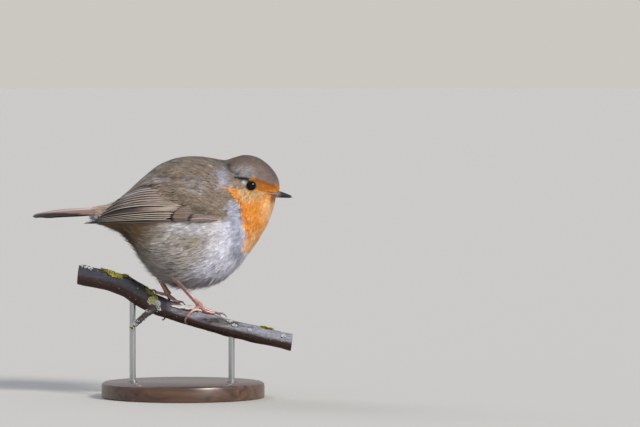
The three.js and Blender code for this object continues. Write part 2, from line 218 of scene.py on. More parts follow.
# ---------------------------------------------------------------- the bird's outer form, in millimetres
# Ribs from the face to the tail coverts: top x, top z, bottom x, bottom z, half width, widest level.
RIBS = np.array([
    (50.3, 107.3, 50.3, 107.3, 0.0, 0.50),
    (50.2, 109.4, 49.2, 105.0, 3.1, 0.50),
    (49.6, 112.0, 47.4, 102.6, 5.5, 0.50),
    (47.9, 115.6, 46.9, 99.8, 8.0, 0.50),
    (44.2, 120.1, 46.2, 96.2, 10.2, 0.51),
    (38.6, 123.9, 45.0, 92.6, 11.7, 0.52),
    (31.8, 125.2, 43.5, 88.8, 12.8, 0.53),
    (26.3, 123.9, 41.3, 84.8, 14.8, 0.57),
    (21.8, 122.6, 38.3, 79.7, 17.8, 0.61),
    (16.0, 123.4, 34.2, 74.2, 20.8, 0.60),
    (9.0, 124.4, 28.2, 66.9, 24.0, 0.57),
    (1.0, 124.3, 20.5, 60.6, 26.0, 0.54),
    (-6.3, 122.7, 12.0, 57.8, 26.6, 0.52),
    (-13.4, 119.4, 3.5, 56.8, 25.9, 0.50),
    (-19.2, 114.8, -4.2, 57.9, 23.9, 0.49),
    (-24.6, 110.0, -12.0, 61.6, 20.6, 0.48),
    (-29.6, 105.4, -19.0, 68.4, 16.6, 0.47),
    (-33.7, 102.1, -24.4, 76.2, 12.8, 0.47),
    (-37.4, 99.9, -31.0, 83.4, 9.6, 0.48),
    (-41.5, 98.4, -38.2, 87.4, 7.2, 0.50),
    (-45.6, 97.2, -44.6, 90.2, 4.6, 0.50),
    (-47.8, 94.2, -47.8, 94.2, 0.0, 0.50),
])
RIB_SPAN = len(RIBS) - 1
HEAD_TURN = math.radians(-10)
HEAD_PIVOT = 24.0
EYE_X, EYE_Z, EYE_RADIUS, EYE_SUNK = 37.5, 109.6, 3.0, 1.62
SIDES = {"right": -1, "left": 1}


def eased(column, at):
    """A rib column between the ribs, eased by plain Catmull-Rom."""
    values = RIBS[:, column]
    i = np.minimum(at.astype(int), RIB_SPAN - 1)
    a, b = values[i], values[i + 1]
    before, after = values[np.maximum(i - 1, 0)], values[np.minimum(i + 2, RIB_SPAN)]
    t, m0, m1 = at - i, (b - before) / 2, (after - a) / 2
    return ((2 * t**3 - 3 * t**2 + 1) * a + (t**3 - 2 * t**2 + t) * m0
            + (3 * t**2 - 2 * t**3) * b + (t**3 - t**2) * m1)


def girth(s):
    """Half width, widest level and squareness of the section at each place s."""
    at = np.clip(s, 0, 1) * RIB_SPAN
    square = 2.15 + 0.35 * ramp(at, 8, 14)
    return np.maximum(eased(4, at), 0), eased(5, at), square


def turned(points, share):
    """Points turned with the head, by a share of its turn."""
    angle = HEAD_TURN * share
    x, y = points[..., 0] - HEAD_PIVOT, points[..., 1]
    return np.stack([
        HEAD_PIVOT + x * np.cos(angle) - y * np.sin(angle),
        x * np.sin(angle) + y * np.cos(angle), points[..., 2]], -1)


def form_points(s, a):
    """Points of the form, and the place of each in the bird's right side view, whichever side it is on."""
    s, a = np.broadcast_arrays(np.clip(s, 0, 1), a)
    top, bottom = spline(RIBS[:, :2], s), spline(RIBS[:, 2:4], s)
    half, level, n = girth(s)
    across, over = (np.sign(v) * np.abs(v) ** (2 / n) for v in (np.sin(a), np.cos(a)))
    down = np.where(over > 0, level * (1 - over), level - (1 - level) * over)
    middle = blend(top, bottom, down)
    straight, right_hand = (
        np.stack([middle[..., 0], -half * y, middle[..., 1]], -1) for y in (across, np.abs(across)))
    share = 1 - ramp(s * RIB_SPAN, 5, 10)
    return turned(straight, share), turned(right_hand, share)[..., (0, 2)]


def body_side(x, z):
    """Half the form's width at places in side view, or 0 outside it."""
    place = np.stack([x, z], -1)
    front, back = np.full(np.shape(x), 1 / RIB_SPAN), np.full(np.shape(x), 1 - 1 / RIB_SPAN)
    for _ in range(24):
        s = (front + back) / 2
        top = spline(RIBS[:, :2], s)
        down, to = spline(RIBS[:, 2:4], s) - top, place - top
        ahead = down[..., 0] * to[..., 1] - down[..., 1] * to[..., 0] > 0
        back, front = np.where(ahead, s, back), np.where(ahead, front, s)
    share = (to * down).sum(-1) / (down * down).sum(-1)
    half, level, n = girth(s)
    reach = np.where(share < level, level, 1 - level)
    return half * np.maximum(0, 1 - np.abs((share - level) / reach) ** n) ** (1 / n)


SHOULDER = ((17, 96), (11, 104), (1, 111), (-9, 113.5), (-18, 113), (-20.5, 111), (-14, 109.8), (-11.5, 105),
            (-9.5, 101), (-3, 99.6), (6, 97.6))


def shoulder_rise(x, z):
    """How far the coverts and scapulars stand over the folded wing's root."""
    return 2.3 * ramp(outline_distance(SHOULDER, x, z), -1.2, 3.0)


class Form:
    """The outer form as a fine grid over s, from face to tail, and a, round from the top."""

    ROWS, COLUMNS = 420, 400

    def __init__(self):
        s = np.linspace(0, 1, self.ROWS)[:, None]
        a = np.linspace(0, TAU, self.COLUMNS, endpoint=False)[None, :]
        step = 1e-3
        place, side_view = form_points(s, a)
        inner = np.clip(s, 3 * step, 1 - 3 * step)
        along = (form_points(inner + step, a)[0] - form_points(inner - step, a)[0]) / (2 * step)
        round_ = (form_points(inner, a + step)[0] - form_points(inner, a - step)[0]) / (2 * step)
        normal = unit(np.cross(along, round_))
        normal[0], normal[-1] = unit(normal[1].mean(0)), unit(normal[-2].mean(0))
        lengths = np.stack([np.linalg.norm(along, axis=-1), np.linalg.norm(round_, axis=-1)], -1)
        rise = shoulder_rise(side_view[..., 0], side_view[..., 1]) * np.abs(np.sin(a)) ** 0.5
        place = place + normal * rise[..., None]
        self.grid = np.concatenate([place, normal, side_view, lengths], -1)

    def at(self, s, a):
        """Place, outward normal, side-view place, and millimetres for each unit of s and of a."""
        i = np.clip(s, 0, 1) * (self.ROWS - 1)
        j = (np.asarray(a) / TAU % 1) * self.COLUMNS
        i0 = np.minimum(i.astype(int), self.ROWS - 2)
        j0 = j.astype(int) % self.COLUMNS
        fi, fj = (i - i0)[..., None], (j - j.astype(int))[..., None]
        j1 = (j0 + 1) % self.COLUMNS
        g = self.grid
        found = ((g[i0, j0] * (1 - fj) + g[i0, j1] * fj) * (1 - fi)
                 + (g[i0 + 1, j0] * (1 - fj) + g[i0 + 1, j1] * fj) * fi)
        return found[..., :3], unit(found[..., 3:6]), found[..., 6:8], found[..., 8], found[..., 9]


FORM = Form()


def eye_centre(side):
    """Where the middle of an eyeball is, in millimetres."""
    depth = body_side(np.array([EYE_X]), np.array([EYE_Z]))[0] - EYE_SUNK
    return turned(np.array([EYE_X, side * depth, EYE_Z]), 1.0)


# ---------------------------------------------------------------- markings, shared by skin and coat
ORANGE_BIB = (
    (19.6, 109.2), (24, 107.9), (28, 107.4), (31, 106.6), (32.6, 107.6), (33.2, 110), (33.8, 112.6),
    (35, 113.6), (37, 114.0), (39, 112.8), (41.5, 112.1), (44, 111.3), (47, 110.5), (50, 110.6),
    (62, 111), (62, 80), (37.5, 76.4), (32.5, 73.6), (30.3, 74.6), (31.4, 79), (32.4, 83.5), (31.3, 88),
    (30.4, 92), (30.2, 96), (29.4, 100), (26.2, 104), (22.4, 107.3),
)
EYE_PARTING_SHADE = ((33.4, 112.0), (30.2, 112.9), (26.4, 113.5))
CAP_EDGE = ((28.2, 115.1), (25, 116.2), (23, 118.2), (23, 120.4))
NECK_PATCH = ((19.6, 118.4), (20.2, 111.2))
BREAST_BAND = ((25.8, 98.0), (26.2, 92), (27.6, 82), (27, 72))
BROW = ((35, 115.6), (31, 115.2), (26.5, 115.6))
LORE_LINE = ((38.6, 107.6), (42, 106.7), (46.6, 105.9))
CROWN_TOP = ((19.0, 122.0), (23.5, 121.5), (26.3, 123.9), (31.8, 125.2), (38.6, 123.9), (44.2, 120.1),
             (47.9, 115.6))
CROWN_LIGHT = ((29.5, 118.4), (34.5, 118.0))
EYE_SHADE = ((34, 112.5), (38, 112.7), (42, 111.7), (46, 110.7))
EYE_SPOT = ((31.0, 111.4), (32.0, 110.6))
FLANK_PARTINGS = (
    ((-2, 85.8), (1.8, 84.4)), ((-0.5, 77.8), (5, 75.8)), ((7, 69.3), (11.5, 72)),
    ((-20.5, 75.8), (-16, 73.6)), ((-9, 67.6), (-5, 64)), ((9, 80.5), (12.5, 79)),
    ((-11, 80), (-8, 78.8)), ((14, 66.4), (17, 68.6)),
)
MANTLE_SHEEN = (((1.5, 112.7), (9, 112.1)), ((-14.5, 112.4), (-9, 111.5)), ((3, 107.8), (9, 107.2)))
MANTLE_STREAKS = (
    ((-12.5, 113.7), (-3, 113.9), (5, 113.3)), ((-9, 121.2), (-1, 121.5)), ((-8, 104.4), (2, 103.6)),
    ((-2, 108.8), (7, 108.2)), ((-18, 115.6), (-8, 116.4)),
)
EAR = ((22, 108), (25, 114.5), (33, 113), (34.5, 107), (31, 104), (27, 105))
LORES = ((33, 112), (38, 107.4), (42, 106.6), (48.6, 107.6), (49, 110.4), (44, 112.2), (38, 114))
CHEEK = ((27.5, 106.6), (33, 107.4), (41.5, 106), (43.5, 104.4), (38, 101.4), (31, 101))
CHEEK_SPECKS = ((31, 107), (38, 107.4), (44.5, 106.3), (43.5, 103), (38, 101.6), (31, 102))
CAP_SHADE = ((30.5, 112.3), (27, 112.8))


def ripple(x, y, z, size, seed):
    """Soft random-looking mottling from -1 to 1, about size millimetres across."""
    k = TAU / size
    total = 0
    for i in range(4):
        way = (math.sin(seed * 3.1 + i * 2.4), math.cos(seed * 1.7 + i * 1.3), math.sin(seed + i * 4.1))
        d = Vector(way).normalized()
        total = total + np.sin(k * (1 + 0.31 * i) * (d.x * x + d.y * y + d.z * z) + seed * 5 + i)
    return total / 2.6


def setting_names(group):
    """The names of a group's own settings."""
    return [key for key in group.bl_rna.properties.keys() if key not in ("rna_type", "name")]


def palette(group):
    """A group's colours as arrays, by name."""
    return {key: np.array(getattr(group, key)) for key in setting_names(group)}


def plumage(colours, place, side_view, jitter):
    """The colour of the feathers at each place. jitter frays the edges between colours."""
    x, z = side_view[..., 0], side_view[..., 1]
    px, py, pz = place[..., 0], place[..., 1], place[..., 2]
    pick = palette(colours)

    def mottle(size, seed):
        return ripple(px, py, pz, size, seed)

    def beside(line, reach, low, high, fray=0.0):
        """1 on a line through points, fading to 0 at about reach millimetres from it."""
        return ramp(reach - line_distance(line, x, z) + fray, low, high)

    def within(outline, low, high, fray=0.0):
        """0 outside an outline and 1 well inside it."""
        return ramp(outline_distance(outline, x, z) + fray, low, high)

    wide, fine = mottle(9, 1.0), mottle(2.6, 2.0)
    # The under side takes in the flank, the belly and the vent, and pale is its whiter front and bottom.
    under = ramp(92.5 - z + 0.8 * fine, -1.2, 2.5) * ramp(x, -46, -30)
    under = np.maximum(under, ramp(88 + 0.3 * (x + 30) - z, -1, 3) * ramp(-x, 18, 30))
    pale = ramp(x - 0.55 * (z - 70), 0, 17) * ramp(96 - z, 0, 8)
    pale = np.maximum(pale, ramp(62.5 - z + 0.12 * x, -2, 4) * ramp(x, -8, 4))
    tone = layered(pick["back"], pick, (
        # Upper side: brown mantle, a greyer nape and rump, and a crown with a lilac-grey front.
        ("mantle_grey", 0.35 * ramp(wide + fine, -0.2, 1.4)),
        ("crown", ramp(x, 20, 25) * ramp(z, 108, 112)),
        ("forehead", ramp(x + 0.4 * (z - 112), 43, 50) * ramp(z, 108, 111)),
        ("brow", 0.75 * beside(BROW, 2.8, -0.8, 2.6, 0.8 * fine)),
        ("crown_top", 0.62 * beside(CROWN_TOP, 4.6, 0, 3.6, 0.7 * fine + 0.3 * jitter)),
        ("brow", 0.55 * beside(CROWN_LIGHT, 1.8, -0.6, 1.4, 0.6 * fine)),
        # Side of the head behind and under the eye, then the grey side of the neck.
        ("ear_coverts", within(EAR, -1, 1.2, 0.6 * fine)),
        ("blue_grey", 0.6 * beside(NECK_PATCH, 4.4, -2, 4, fine) * (1 - 0.8 * ramp(z, 116.5, 120.5))),
        # Painted bluish sheen on the mantle, and dark streak lines across it.
        *(("blue_grey", 0.24 * beside(line, 2.2, -1.6, 2.2, 0.4 * fine)) for line in MANTLE_SHEEN),
        *(("parting", 0.46 * beside(line, 0.55, -0.2, 0.5, 0.25 * fine)) for line in MANTLE_STREAKS),
        # Under side: flank, belly, and the warm buff vent darkened as painted shade.
        ("flank", under),
        ("flank_olive", under * ramp(mottle(5.5, 3.0) + 0.5 * fine, 0, 1.2) * ramp(z, 66, 74)),
        ("belly", under * pale),
        # Painted shade in gaps between the flank feathers.
        *(("parting", 0.5 * under * beside(line, 0.6, -0.2, 0.6, 0.35 * fine)) for line in FLANK_PARTINGS),
        # Darker and warmer along the bottom of the belly, in the shaded vent colour.
        ("vent", 0.5 * ramp(61.5 - z + 0.5 * fine, 0, 3.5) * ramp(x, -12, -4)),
        ("belly", 0.5 * ramp(92 - z, 0, 2) * ramp(z, 82, 87) * ramp(x, -14, -4)),
        ("vent", ramp(-x - 0.5 * (84 - z) + fine, 12, 26) * ramp(93 - z, -1, 2.5)),
        ("tail_covert", ramp(-x, 34, 40) * ramp(z, 92.5, 94.5)),
        ("belly", ramp(-x, 44.5, 46) * ramp(z, 91, 92) * ramp(95 - z, 0, 0.8)),
        ("blue_grey", beside(BREAST_BAND, 4.6, -1.4, 3.4, fine + 0.5 * jitter) * ramp(z, 66, 74)),
    ))
    # The orange face and breast, deeper before the eye and at its rear edge, buff on the cheek, with painted
    # shade over the eye and on the chin under the bill.
    bib = outline_distance(ORANGE_BIB, x, z) + 0.35 * fine + 0.45 * jitter
    front = ramp(x - 0.05 * (100 - z), 37, 44) * ramp(105 - z, 0, 6)
    rear_edge = ramp(4.5 - bib, 0, 3.5) * ramp(104 - z, -2, 6) * ramp(z, 76, 84)
    # Painted shade on the chin, under the bill.
    chin_shade = ramp(x, 43.5, 46.5) * ramp(z, 98.5, 101.5) * ramp(106 - z, 0, 1)
    orange = layered(pick["orange"], pick, (
        ("orange_pale", np.clip(0.75 * front + 0.75 * ramp(90 - z, 0, 12) + 0.2 * wide, 0, 0.9)),
        ("orange_red", 0.75 * rear_edge * ramp(40 - x, 0, 3) * ramp(wide + fine, -1.2, 0.8)),
        ("lores", np.maximum(within(LORES, -0.8, 1.4, 0.5 * fine), 0.75 * chin_shade)),
        ("parting", 0.4 * beside(EYE_SHADE, 1.5, -0.3, 1.0, 0.3 * fine)),
        ("cheek", within(CHEEK, -1.2, 1.2, 0.7 * fine)),
    ))
    tone = blend(tone, orange, ramp(bib, -0.55, 0.55))
    # Painted shadow in the dark partings: behind the eye, and where the cap ends on the nape.
    eye_parting_shade = ramp(0.52 + 0.13 * np.clip(x - 27, 0, 6) - line_distance(EYE_PARTING_SHADE, x, z), -0.15, 0.25)
    edges = (
        0.75 * beside(CAP_EDGE, 0.8, -0.2, 0.5, 0.3 * fine), 0.3 * beside(CAP_EDGE, 2.4, 0, 2, 0.5 * fine),
        0.35 * beside(CAP_SHADE, 1.8, 0, 1.5, 0.3 * fine))
    tone = layered(tone, pick, (
        ("parting", 0.75 * ramp(mottle(2.1, 8.0), 0.62, 0.95) * within(CHEEK_SPECKS, -0.4, 0.8)),
        ("belly", 0.9 * beside(EYE_SPOT, 0.9, -0.3, 0.4)),
        ("parting", 0.5 * beside(LORE_LINE, 0.5, -0.1, 0.4, 0.2 * fine)),
        ("parting", np.maximum.reduce([eye_parting_shade, *edges])),
    ))
    # Strands: fine light and dark lines that run with the feathers on the mantle and the flank.
    lean = mix(0.55, 0.3, ramp(under, 0, 1))
    strand = np.sin(TAU * (z - lean * x) / 2.3 + 2.2 * wide + 1.5 * np.sin(x / 5))
    strand = strand * (0.5 + 0.5 * mottle(7, 6.0))
    rear = ramp(-x, -2, 12) * ramp(z, 100, 106)
    upper = (1 - under) * ramp(z, 98, 104) * (1 - ramp(bib, -1, 0.5))
    light = strand * (0.22 * rear + 0.13 * under + 0.07 * upper)
    light = light + 0.1 * fine + 0.14 * under * mottle(6.5, 5.0)
    light = light + upper * (0.11 * mottle(1.7, 9.0) + 0.08 * mottle(4.6, 12.0))
    # A painted pool of light on the lower breast.
    light = light + 0.3 * under * np.exp(-((x - 4) ** 2 + (z - 66.5) ** 2) / 60)
    return tone * (1 + light)[..., None]


# ---------------------------------------------------------------- meshes
def fill(data, key, values):
    """Sets one property of all of a mesh's points, corners or faces."""
    data.foreach_set(key, np.ravel(values).astype(np.float32))


def keep_markings(mesh, tones):
    """Keeps the colour of each point with the mesh."""
    fill(mesh.color_attributes.new("plumage", "FLOAT_COLOR", "POINT").data, "color",
         np.c_[tones, np.ones(len(tones))])


def finished(name, mesh, surfaces, stands_for=(), slot=None):
    """Puts a mesh in the scene as a piece that rides with the bird, in place of its CAD nodes."""
    made = bpy.data.objects.new(name, mesh)
    bpy.context.scene.collection.objects.link(made)
    for surface in surfaces:
        mesh.materials.append(surface)
    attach(made, "root")
    if stands_for:
        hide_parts(*stands_for)
    return made


def from_bmesh(name, bm, surfaces, smooth=True, **facts):
    """A finished piece from a bmesh modelled in millimetres."""
    bmesh.ops.scale(bm, vec=(MM, MM, MM), verts=bm.verts)
    bmesh.ops.recalc_face_normals(bm, faces=bm.faces)
    for face in bm.faces:
        face.smooth = smooth
    mesh = bpy.data.meshes.new(name)
    bm.to_mesh(mesh)
    bm.free()
    return finished(name, mesh, surfaces, **facts)


def from_arrays(name, points, faces, surfaces, tones=None, uv=None, smooth=True, normals=None, **facts):
    """A finished piece from arrays: points in millimetres and rows of three or four point numbers."""
    mesh = bpy.data.meshes.new(name)
    corners = faces.shape[1]
    mesh.vertices.add(len(points))
    fill(mesh.vertices, "co", points * MM)
    mesh.loops.add(faces.size)
    mesh.loops.foreach_set("vertex_index", faces.astype(np.int32).ravel())
    mesh.polygons.add(len(faces))
    mesh.polygons.foreach_set("loop_start", np.arange(0, faces.size, corners, dtype=np.int32))
    mesh.polygons.foreach_set("use_smooth", np.full(len(faces), smooth))
    if tones is not None:
        keep_markings(mesh, tones)
    if uv is not None:
        fill(mesh.uv_layers.new(name="OFBake").data, "uv", uv[faces.ravel()])
    mesh.update(calc_edges=True)
    if normals is not None:
        mesh.normals_split_custom_set_from_vertices(normals.astype(np.float32))
    return finished(name, mesh, surfaces, **facts)


def ball(bm, place, rings, sides):
    """Adds a closed shape: a ball whose points move to place(share along, angle round)."""
    made = bmesh.ops.create_uvsphere(bm, u_segments=sides, v_segments=rings, radius=1)["verts"]
    co = np.array([v.co for v in made])
    along = np.arccos(np.clip(co[:, 2], -1, 1)) / math.pi
    for vert, point in zip(made, place(along, np.arctan2(co[:, 1], co[:, 0]))):
        vert.co = point
    return made


# ---------------------------------------------------------------- settings
class PlumageColours(bpy.types.PropertyGroup):
    back: colour("Back", "Olive brown of the back and rump", "7e6f60")
    mantle_grey: colour("Mantle grey", "Greyer feathers among the brown ones", "8f8880")
    crown: colour("Crown", "Grey-brown of the cap", "7f6f66")
    crown_top: colour("Crown top", "Darker olive brown along the top of the cap", "564a3c")
    forehead: colour("Forehead", "Lilac grey at the front of the cap", "7f7278")
    brow: colour("Brow", "Pale grey above and behind the eye", "9a979c")
    ear_coverts: colour("Ear coverts", "Buff grey behind the eye", "8e7d6c")
    blue_grey: colour("Blue grey", "Band beside the orange", "a5a8b9")
    orange: colour("Orange", "Face and breast", "e09238")
    orange_pale: colour("Pale orange", "Front and lower breast", "f3c893")
    lores: colour("Lores", "Deep orange before the eye", "ae640a")
    orange_red: colour("Red orange", "Rear edge of the breast", "d2702a")
    cheek: colour("Cheek", "Buff orange under the eye", "c9a272")
    flank: colour("Flank", "Buff grey side of the belly", "b0a9a3")
    flank_olive: colour("Flank olive", "Olive strands among the buff", "948a72")
    belly: colour("Belly", "Nearly white belly", "d9d9e6")
    # Warm buff, darkened as painted shade under the tail.
    vent: colour("Vent", "Warm buff under the tail", "755e44")
    tail_covert: colour("Tail coverts", "Buff coverts over the root of the tail", "a48f80")
    eye_rim: colour("Eye rim", "Pale feathers round the eye", "e3cdb0")
    # Near black: painted shade in the partings between feathers, and the dark specks on the cheek.
    parting: colour("Partings", "Down seen between parted feathers", "1c1816")


class CoatSizes(bpy.types.PropertyGroup):
    face_length: length_prop("Face feathers", "Length of the feathers on the face", 1.5)
    head_length: length_prop("Head feathers", "Length of the feathers on the crown", 2.8)
    back_length: length_prop("Back feathers", "Length of the feathers on the back", 6.5)
    belly_length: length_prop("Belly feathers", "Length of the feathers on the belly", 9.0)
    face_depth: length_prop("Face coat depth", "From skin to feather tips on the face", 0.4)
    back_depth: length_prop("Back coat depth", "From skin to feather tips on the back", 1.1)
    belly_depth: length_prop("Belly coat depth", "From skin to feather tips on the belly", 1.8)
    seed: IntProperty(name="Seed", description="Start of the random draws", default=7)


# ---------------------------------------------------------------- skin and coat
def low_side(a):
    """0 at the top of the body, 1 underneath, for angles round the body."""
    return np.abs(((np.asarray(a) + math.pi) % TAU) - math.pi) / math.pi


def coat_depth(sizes, s, a):
    """How deep the coat is, in millimetres."""
    r, low = s * RIB_SPAN, low_side(a)
    face, back, belly = (v / MM for v in (sizes.face_depth, sizes.back_depth, sizes.belly_depth))
    body = mix(back, belly, ramp(low, 0.35, 0.6))
    depth = mix(face, body, ramp(r, 3.5, 11))
    return depth * (1 - 0.75 * ramp(r, 18.5, 21))


def plumage_tone(tree):
    """The markings kept with a piece's points."""
    return node(tree, "ShaderNodeVertexColor", {"layer_name": "plumage"}).outputs["Color"]


def feather_material():
    """Contour feathers: soft keratin barbs, which scatter light with a faint sheen at grazing angles."""
    made, tree, shader = material(
        "Contour feathers, loose keratin barbs", Roughness=0.72, Specular_IOR_Level=0.25,
        Sheen_Weight=0.18, Sheen_Roughness=0.45)
    tree.links.new(plumage_tone(tree), shader.inputs["Base Color"])
    return made


class ROBIN_OT_skin(bpy.types.Operator):
    """Makes the skin: one closed surface under the coat, in place of head, neck and trunk"""

    bl_idname = "robin.skin"
    bl_label = "Skin"

    def execute(self, context):
        sizes, colours = context.scene.robin_coat, context.scene.robin_plumage
        bm = bmesh.new()

        def place(along, angle):
            points, normals, *_ = FORM.at(along, angle)
            return points - normals * coat_depth(sizes, along, angle)[:, None]

        ball(bm, place, rings=150, sides=120)
        made = from_bmesh("skin", bm, [], stands_for=("head", "neck", "trunk"), slot="body_feathers")
        co = np.array([v.co for v in made.data.vertices]) / MM
        rows, columns = 200, 180
        tree = kdtree.KDTree(rows * columns)
        around = np.linspace(0, TAU, columns, endpoint=False)
        s, a = (v.ravel() for v in np.meshgrid(np.linspace(0, 1, rows), around))
        for i, point in enumerate(FORM.at(s, a)[0]):
            tree.insert(point, i)
        tree.balance()
        near = np.array([tree.find(v)[1] for v in co])
        side_view = FORM.at(s[near], a[near])[2]
        keep_markings(made.data, plumage(colours, co, side_view, 0) * 0.95)
        made.data.materials.append(skin_material())
        return {"FINISHED"}


def skin_material():
    """Skin under grey down: matt, with a fine downy grain."""
    made, tree, shader = material("Skin with grey down", Roughness=0.9, Specular_IOR_Level=0.15)
    tree.links.new(plumage_tone(tree), shader.inputs["Base Color"])
    relief(tree, shader, grain(tree, 0.5, 3.0), strength=0.6, depth=0.2)
    return made


def spread_roots(rng, spacing, tries, low_r=0.0, high_r=RIB_SPAN):
    """Feather roots over the form, no two nearer than about the spacing(s, a) asked for there."""
    s = rng.uniform(low_r, high_r, tries) / RIB_SPAN
    a = rng.uniform(0, TAU, tries)
    place, _, _, gs, ga = FORM.at(s, a)
    gap = spacing(s, a)
    weight = gs * ga / np.maximum(gap, 1e-3) ** 2 * (gap > 0)
    keep = rng.uniform(0, np.quantile(weight, 0.995), tries) < weight
    s, a, place, gap = s[keep], a[keep], place[keep], gap[keep]
    tree = kdtree.KDTree(len(s))
    for i, point in enumerate(place):
        tree.insert(point, i)
    tree.balance()
    alive = np.ones(len(s), bool)
    for i in range(len(s)):
        if alive[i]:
            for _, j, _ in tree.find_range(place[i], gap[i]):
                if j > i:
                    alive[j] = False
    return s[alive], a[alive]


UV_PATCH = 0.0015  # half the width of a feather's patch on the map


def grow(rng, s0, a0, barbs, levels, lie):
    """Grows a soft feather at each root: a broad leaf under loose barbs that bend towards its tip.

    lie holds an array for each of length, half_width, barb_width, depth, lift, follow, swirl and clump.
    Returns the points of every barb and the way they face, with its tip's place and side view, the shares
    along it, and its UV.
    """
    n = len(s0)
    per_feather = {key: np.broadcast_to(value, n)[:, None, None] for key, value in lie.items()}
    length, half_width, depth = (per_feather[k] for k in ("length", "half_width", "depth"))
    place0, normal0, _, gs, ga = FORM.at(s0, a0)
    back0 = unit(FORM.at(s0 + 0.004, a0)[0] - place0)
    across0 = np.cross(back0, normal0)
    ga = np.maximum(ga, 1.2)[:, None, None]
    gs = gs[:, None, None]
    turn = per_feather["swirl"] + rng.normal(0, 0.14, (n, 1, 1))
    size = rng.uniform(0.82, 1.15, (n, 1, 1))
    q = (np.arange(barbs) + 0.5) / barbs
    side = np.where(np.arange(barbs) % 2 == 0, 1.0, -1.0)
    tip = 0.36 + 0.64 * q[None, :] ** 0.75 + rng.normal(0, 0.04, (n, barbs))
    root = np.clip(tip - 0.6, 0.0, 0.5)
    reach = np.sqrt(np.clip(1 - (2 * tip - 0.95) ** 2, 0.02, 1))
    wide = side * reach * rng.uniform(0.1, 1.1, (n, barbs)) ** 0.7
    lock_of = np.clip(np.round(wide * 2.0), -2, 2)
    locks = lock_of / 2.0
    wide = wide + (locks - wide) * per_feather["clump"][:, :, 0]
    tip[:, 0], root[:, 0], wide[:, 0] = 0.62, 0.0, 0.0
    t = np.linspace(0, 1, levels)
    length = length * size
    along = (root[..., None] + (tip - root)[..., None] * t) * length
    waver = rng.normal(0, 0.05, (n, barbs, 1)) * np.sin(TAU * (t + rng.uniform(0, 1, (n, barbs, 1))))
    across = (wide[..., None] * np.sin(0.5 * math.pi * t) + waver) * half_width * size
    ahead = along * np.cos(turn) - across * np.sin(turn)
    aside = along * np.sin(turn) + across * np.cos(turn)
    place, normal, side_view, _, _ = FORM.at(s0[:, None, None] + ahead / gs, a0[:, None, None] + aside / ga)
    straight = (place0[:, None, None] + back0[:, None, None] * ahead[..., None]
                + across0[:, None, None] * aside[..., None])
    follow = per_feather["follow"][..., None]
    place = place * follow + straight * (1 - follow)
    normal = unit(normal * follow + normal0[:, None, None] * (1 - follow))
    share = along / length
    stir = np.take_along_axis(rng.normal(0, 1, (n, 5)), lock_of.astype(int) + 2, 1)
    bristle = 0.35 * rng.normal(0, 1, (n, barbs, 1)) + 0.9 * stir[..., None]
    bristle[:, 0] = -1.5
    height = depth * (-0.9 + 0.9 * share**0.6) + per_feather["lift"] * share**2 * (
        0.3 + 0.4 * rng.normal(0, 1, (n, 1, 1)) + 0.4 * bristle)
    spine = place + normal * height[..., None]
    ahead_dir = unit(np.gradient(spine, axis=2))
    flat = unit(np.cross(ahead_dir, normal))
    flat = unit(flat + normal * rng.normal(0, 0.16, (n, barbs, 1, 1)))
    taper = per_feather["barb_width"] * (1 - 0.55 * t) * rng.uniform(0.7, 1.3, (n, barbs, 1))
    taper[:, 0] = (half_width * size * 1.2 * np.sin(math.pi * (0.15 + 0.75 * t)) ** 0.7)[:, 0]
    left = spine[:, :, :-1] - flat[:, :, :-1] * taper[:, :, :-1, None] / 2
    right = spine[:, :, :-1] + flat[:, :, :-1] * taper[:, :, :-1, None] / 2
    pairs = np.stack([left, right], 3).reshape(n, barbs, -1, 3)
    points = np.concatenate([pairs, spine[:, :, -1:]], 2)
    both = np.r_[np.repeat(np.arange(levels - 1), 2), levels - 1]
    facing = unit(0.6 * normal + 0.4 * np.cross(flat, ahead_dir))[:, :, both]
    patch = UV_PATCH * np.stack([across[..., both] / (half_width * size), 2 * share[..., both] - 1], -1)
    uv = np.stack([(a0 / TAU % 1), s0], -1)[:, None, None] + patch
    return points, facing, place[:, :, -1], side_view[:, :, -1], t[both], np.clip(uv, 0.0005, 0.9995)


def barb_faces(count, levels):
    """Triangles of count barbs, each a tapering strip of the given number of levels."""
    strip = []
    for k in range(levels - 2):
        i = 2 * k
        strip += [(i, i + 1, i + 3), (i, i + 3, i + 2)]
    i = 2 * (levels - 2)
    strip.append((i, i + 1, i + 2))
    size = 2 * (levels - 1) + 1
    return (np.arange(count)[:, None, None] * size + np.array(strip)[None]).reshape(-1, 3)


def eye_frame(side):
    """An eye's centre, the way it looks, and the ways ahead and up across it."""
    out = unit(turned(np.array([HEAD_PIVOT + 0.12, side * 1.0, 0.03]), 1.0) - (HEAD_PIVOT, 0, 0))
    ahead = unit(np.cross(out, (0, 0, side)))
    return eye_centre(side), out, ahead, np.cross(ahead, out) * side


def gape_line(side):
    """The soft corner of the mouth, from the cheek forward to the side of the bill."""
    x = np.array([44.8, 46.2, 47.6, 48.8, 49.8, 50.8])
    z = np.array([105.6, 105.5, 105.35, 105.3, 105.2, 105.1])
    y = np.r_[body_side(x[:4], z[:4]) - (0.02, 0.02, 0.1, 0.3), 1.35, 1.05]
    return turned(np.stack([x, side * y, z], -1), 1.0)


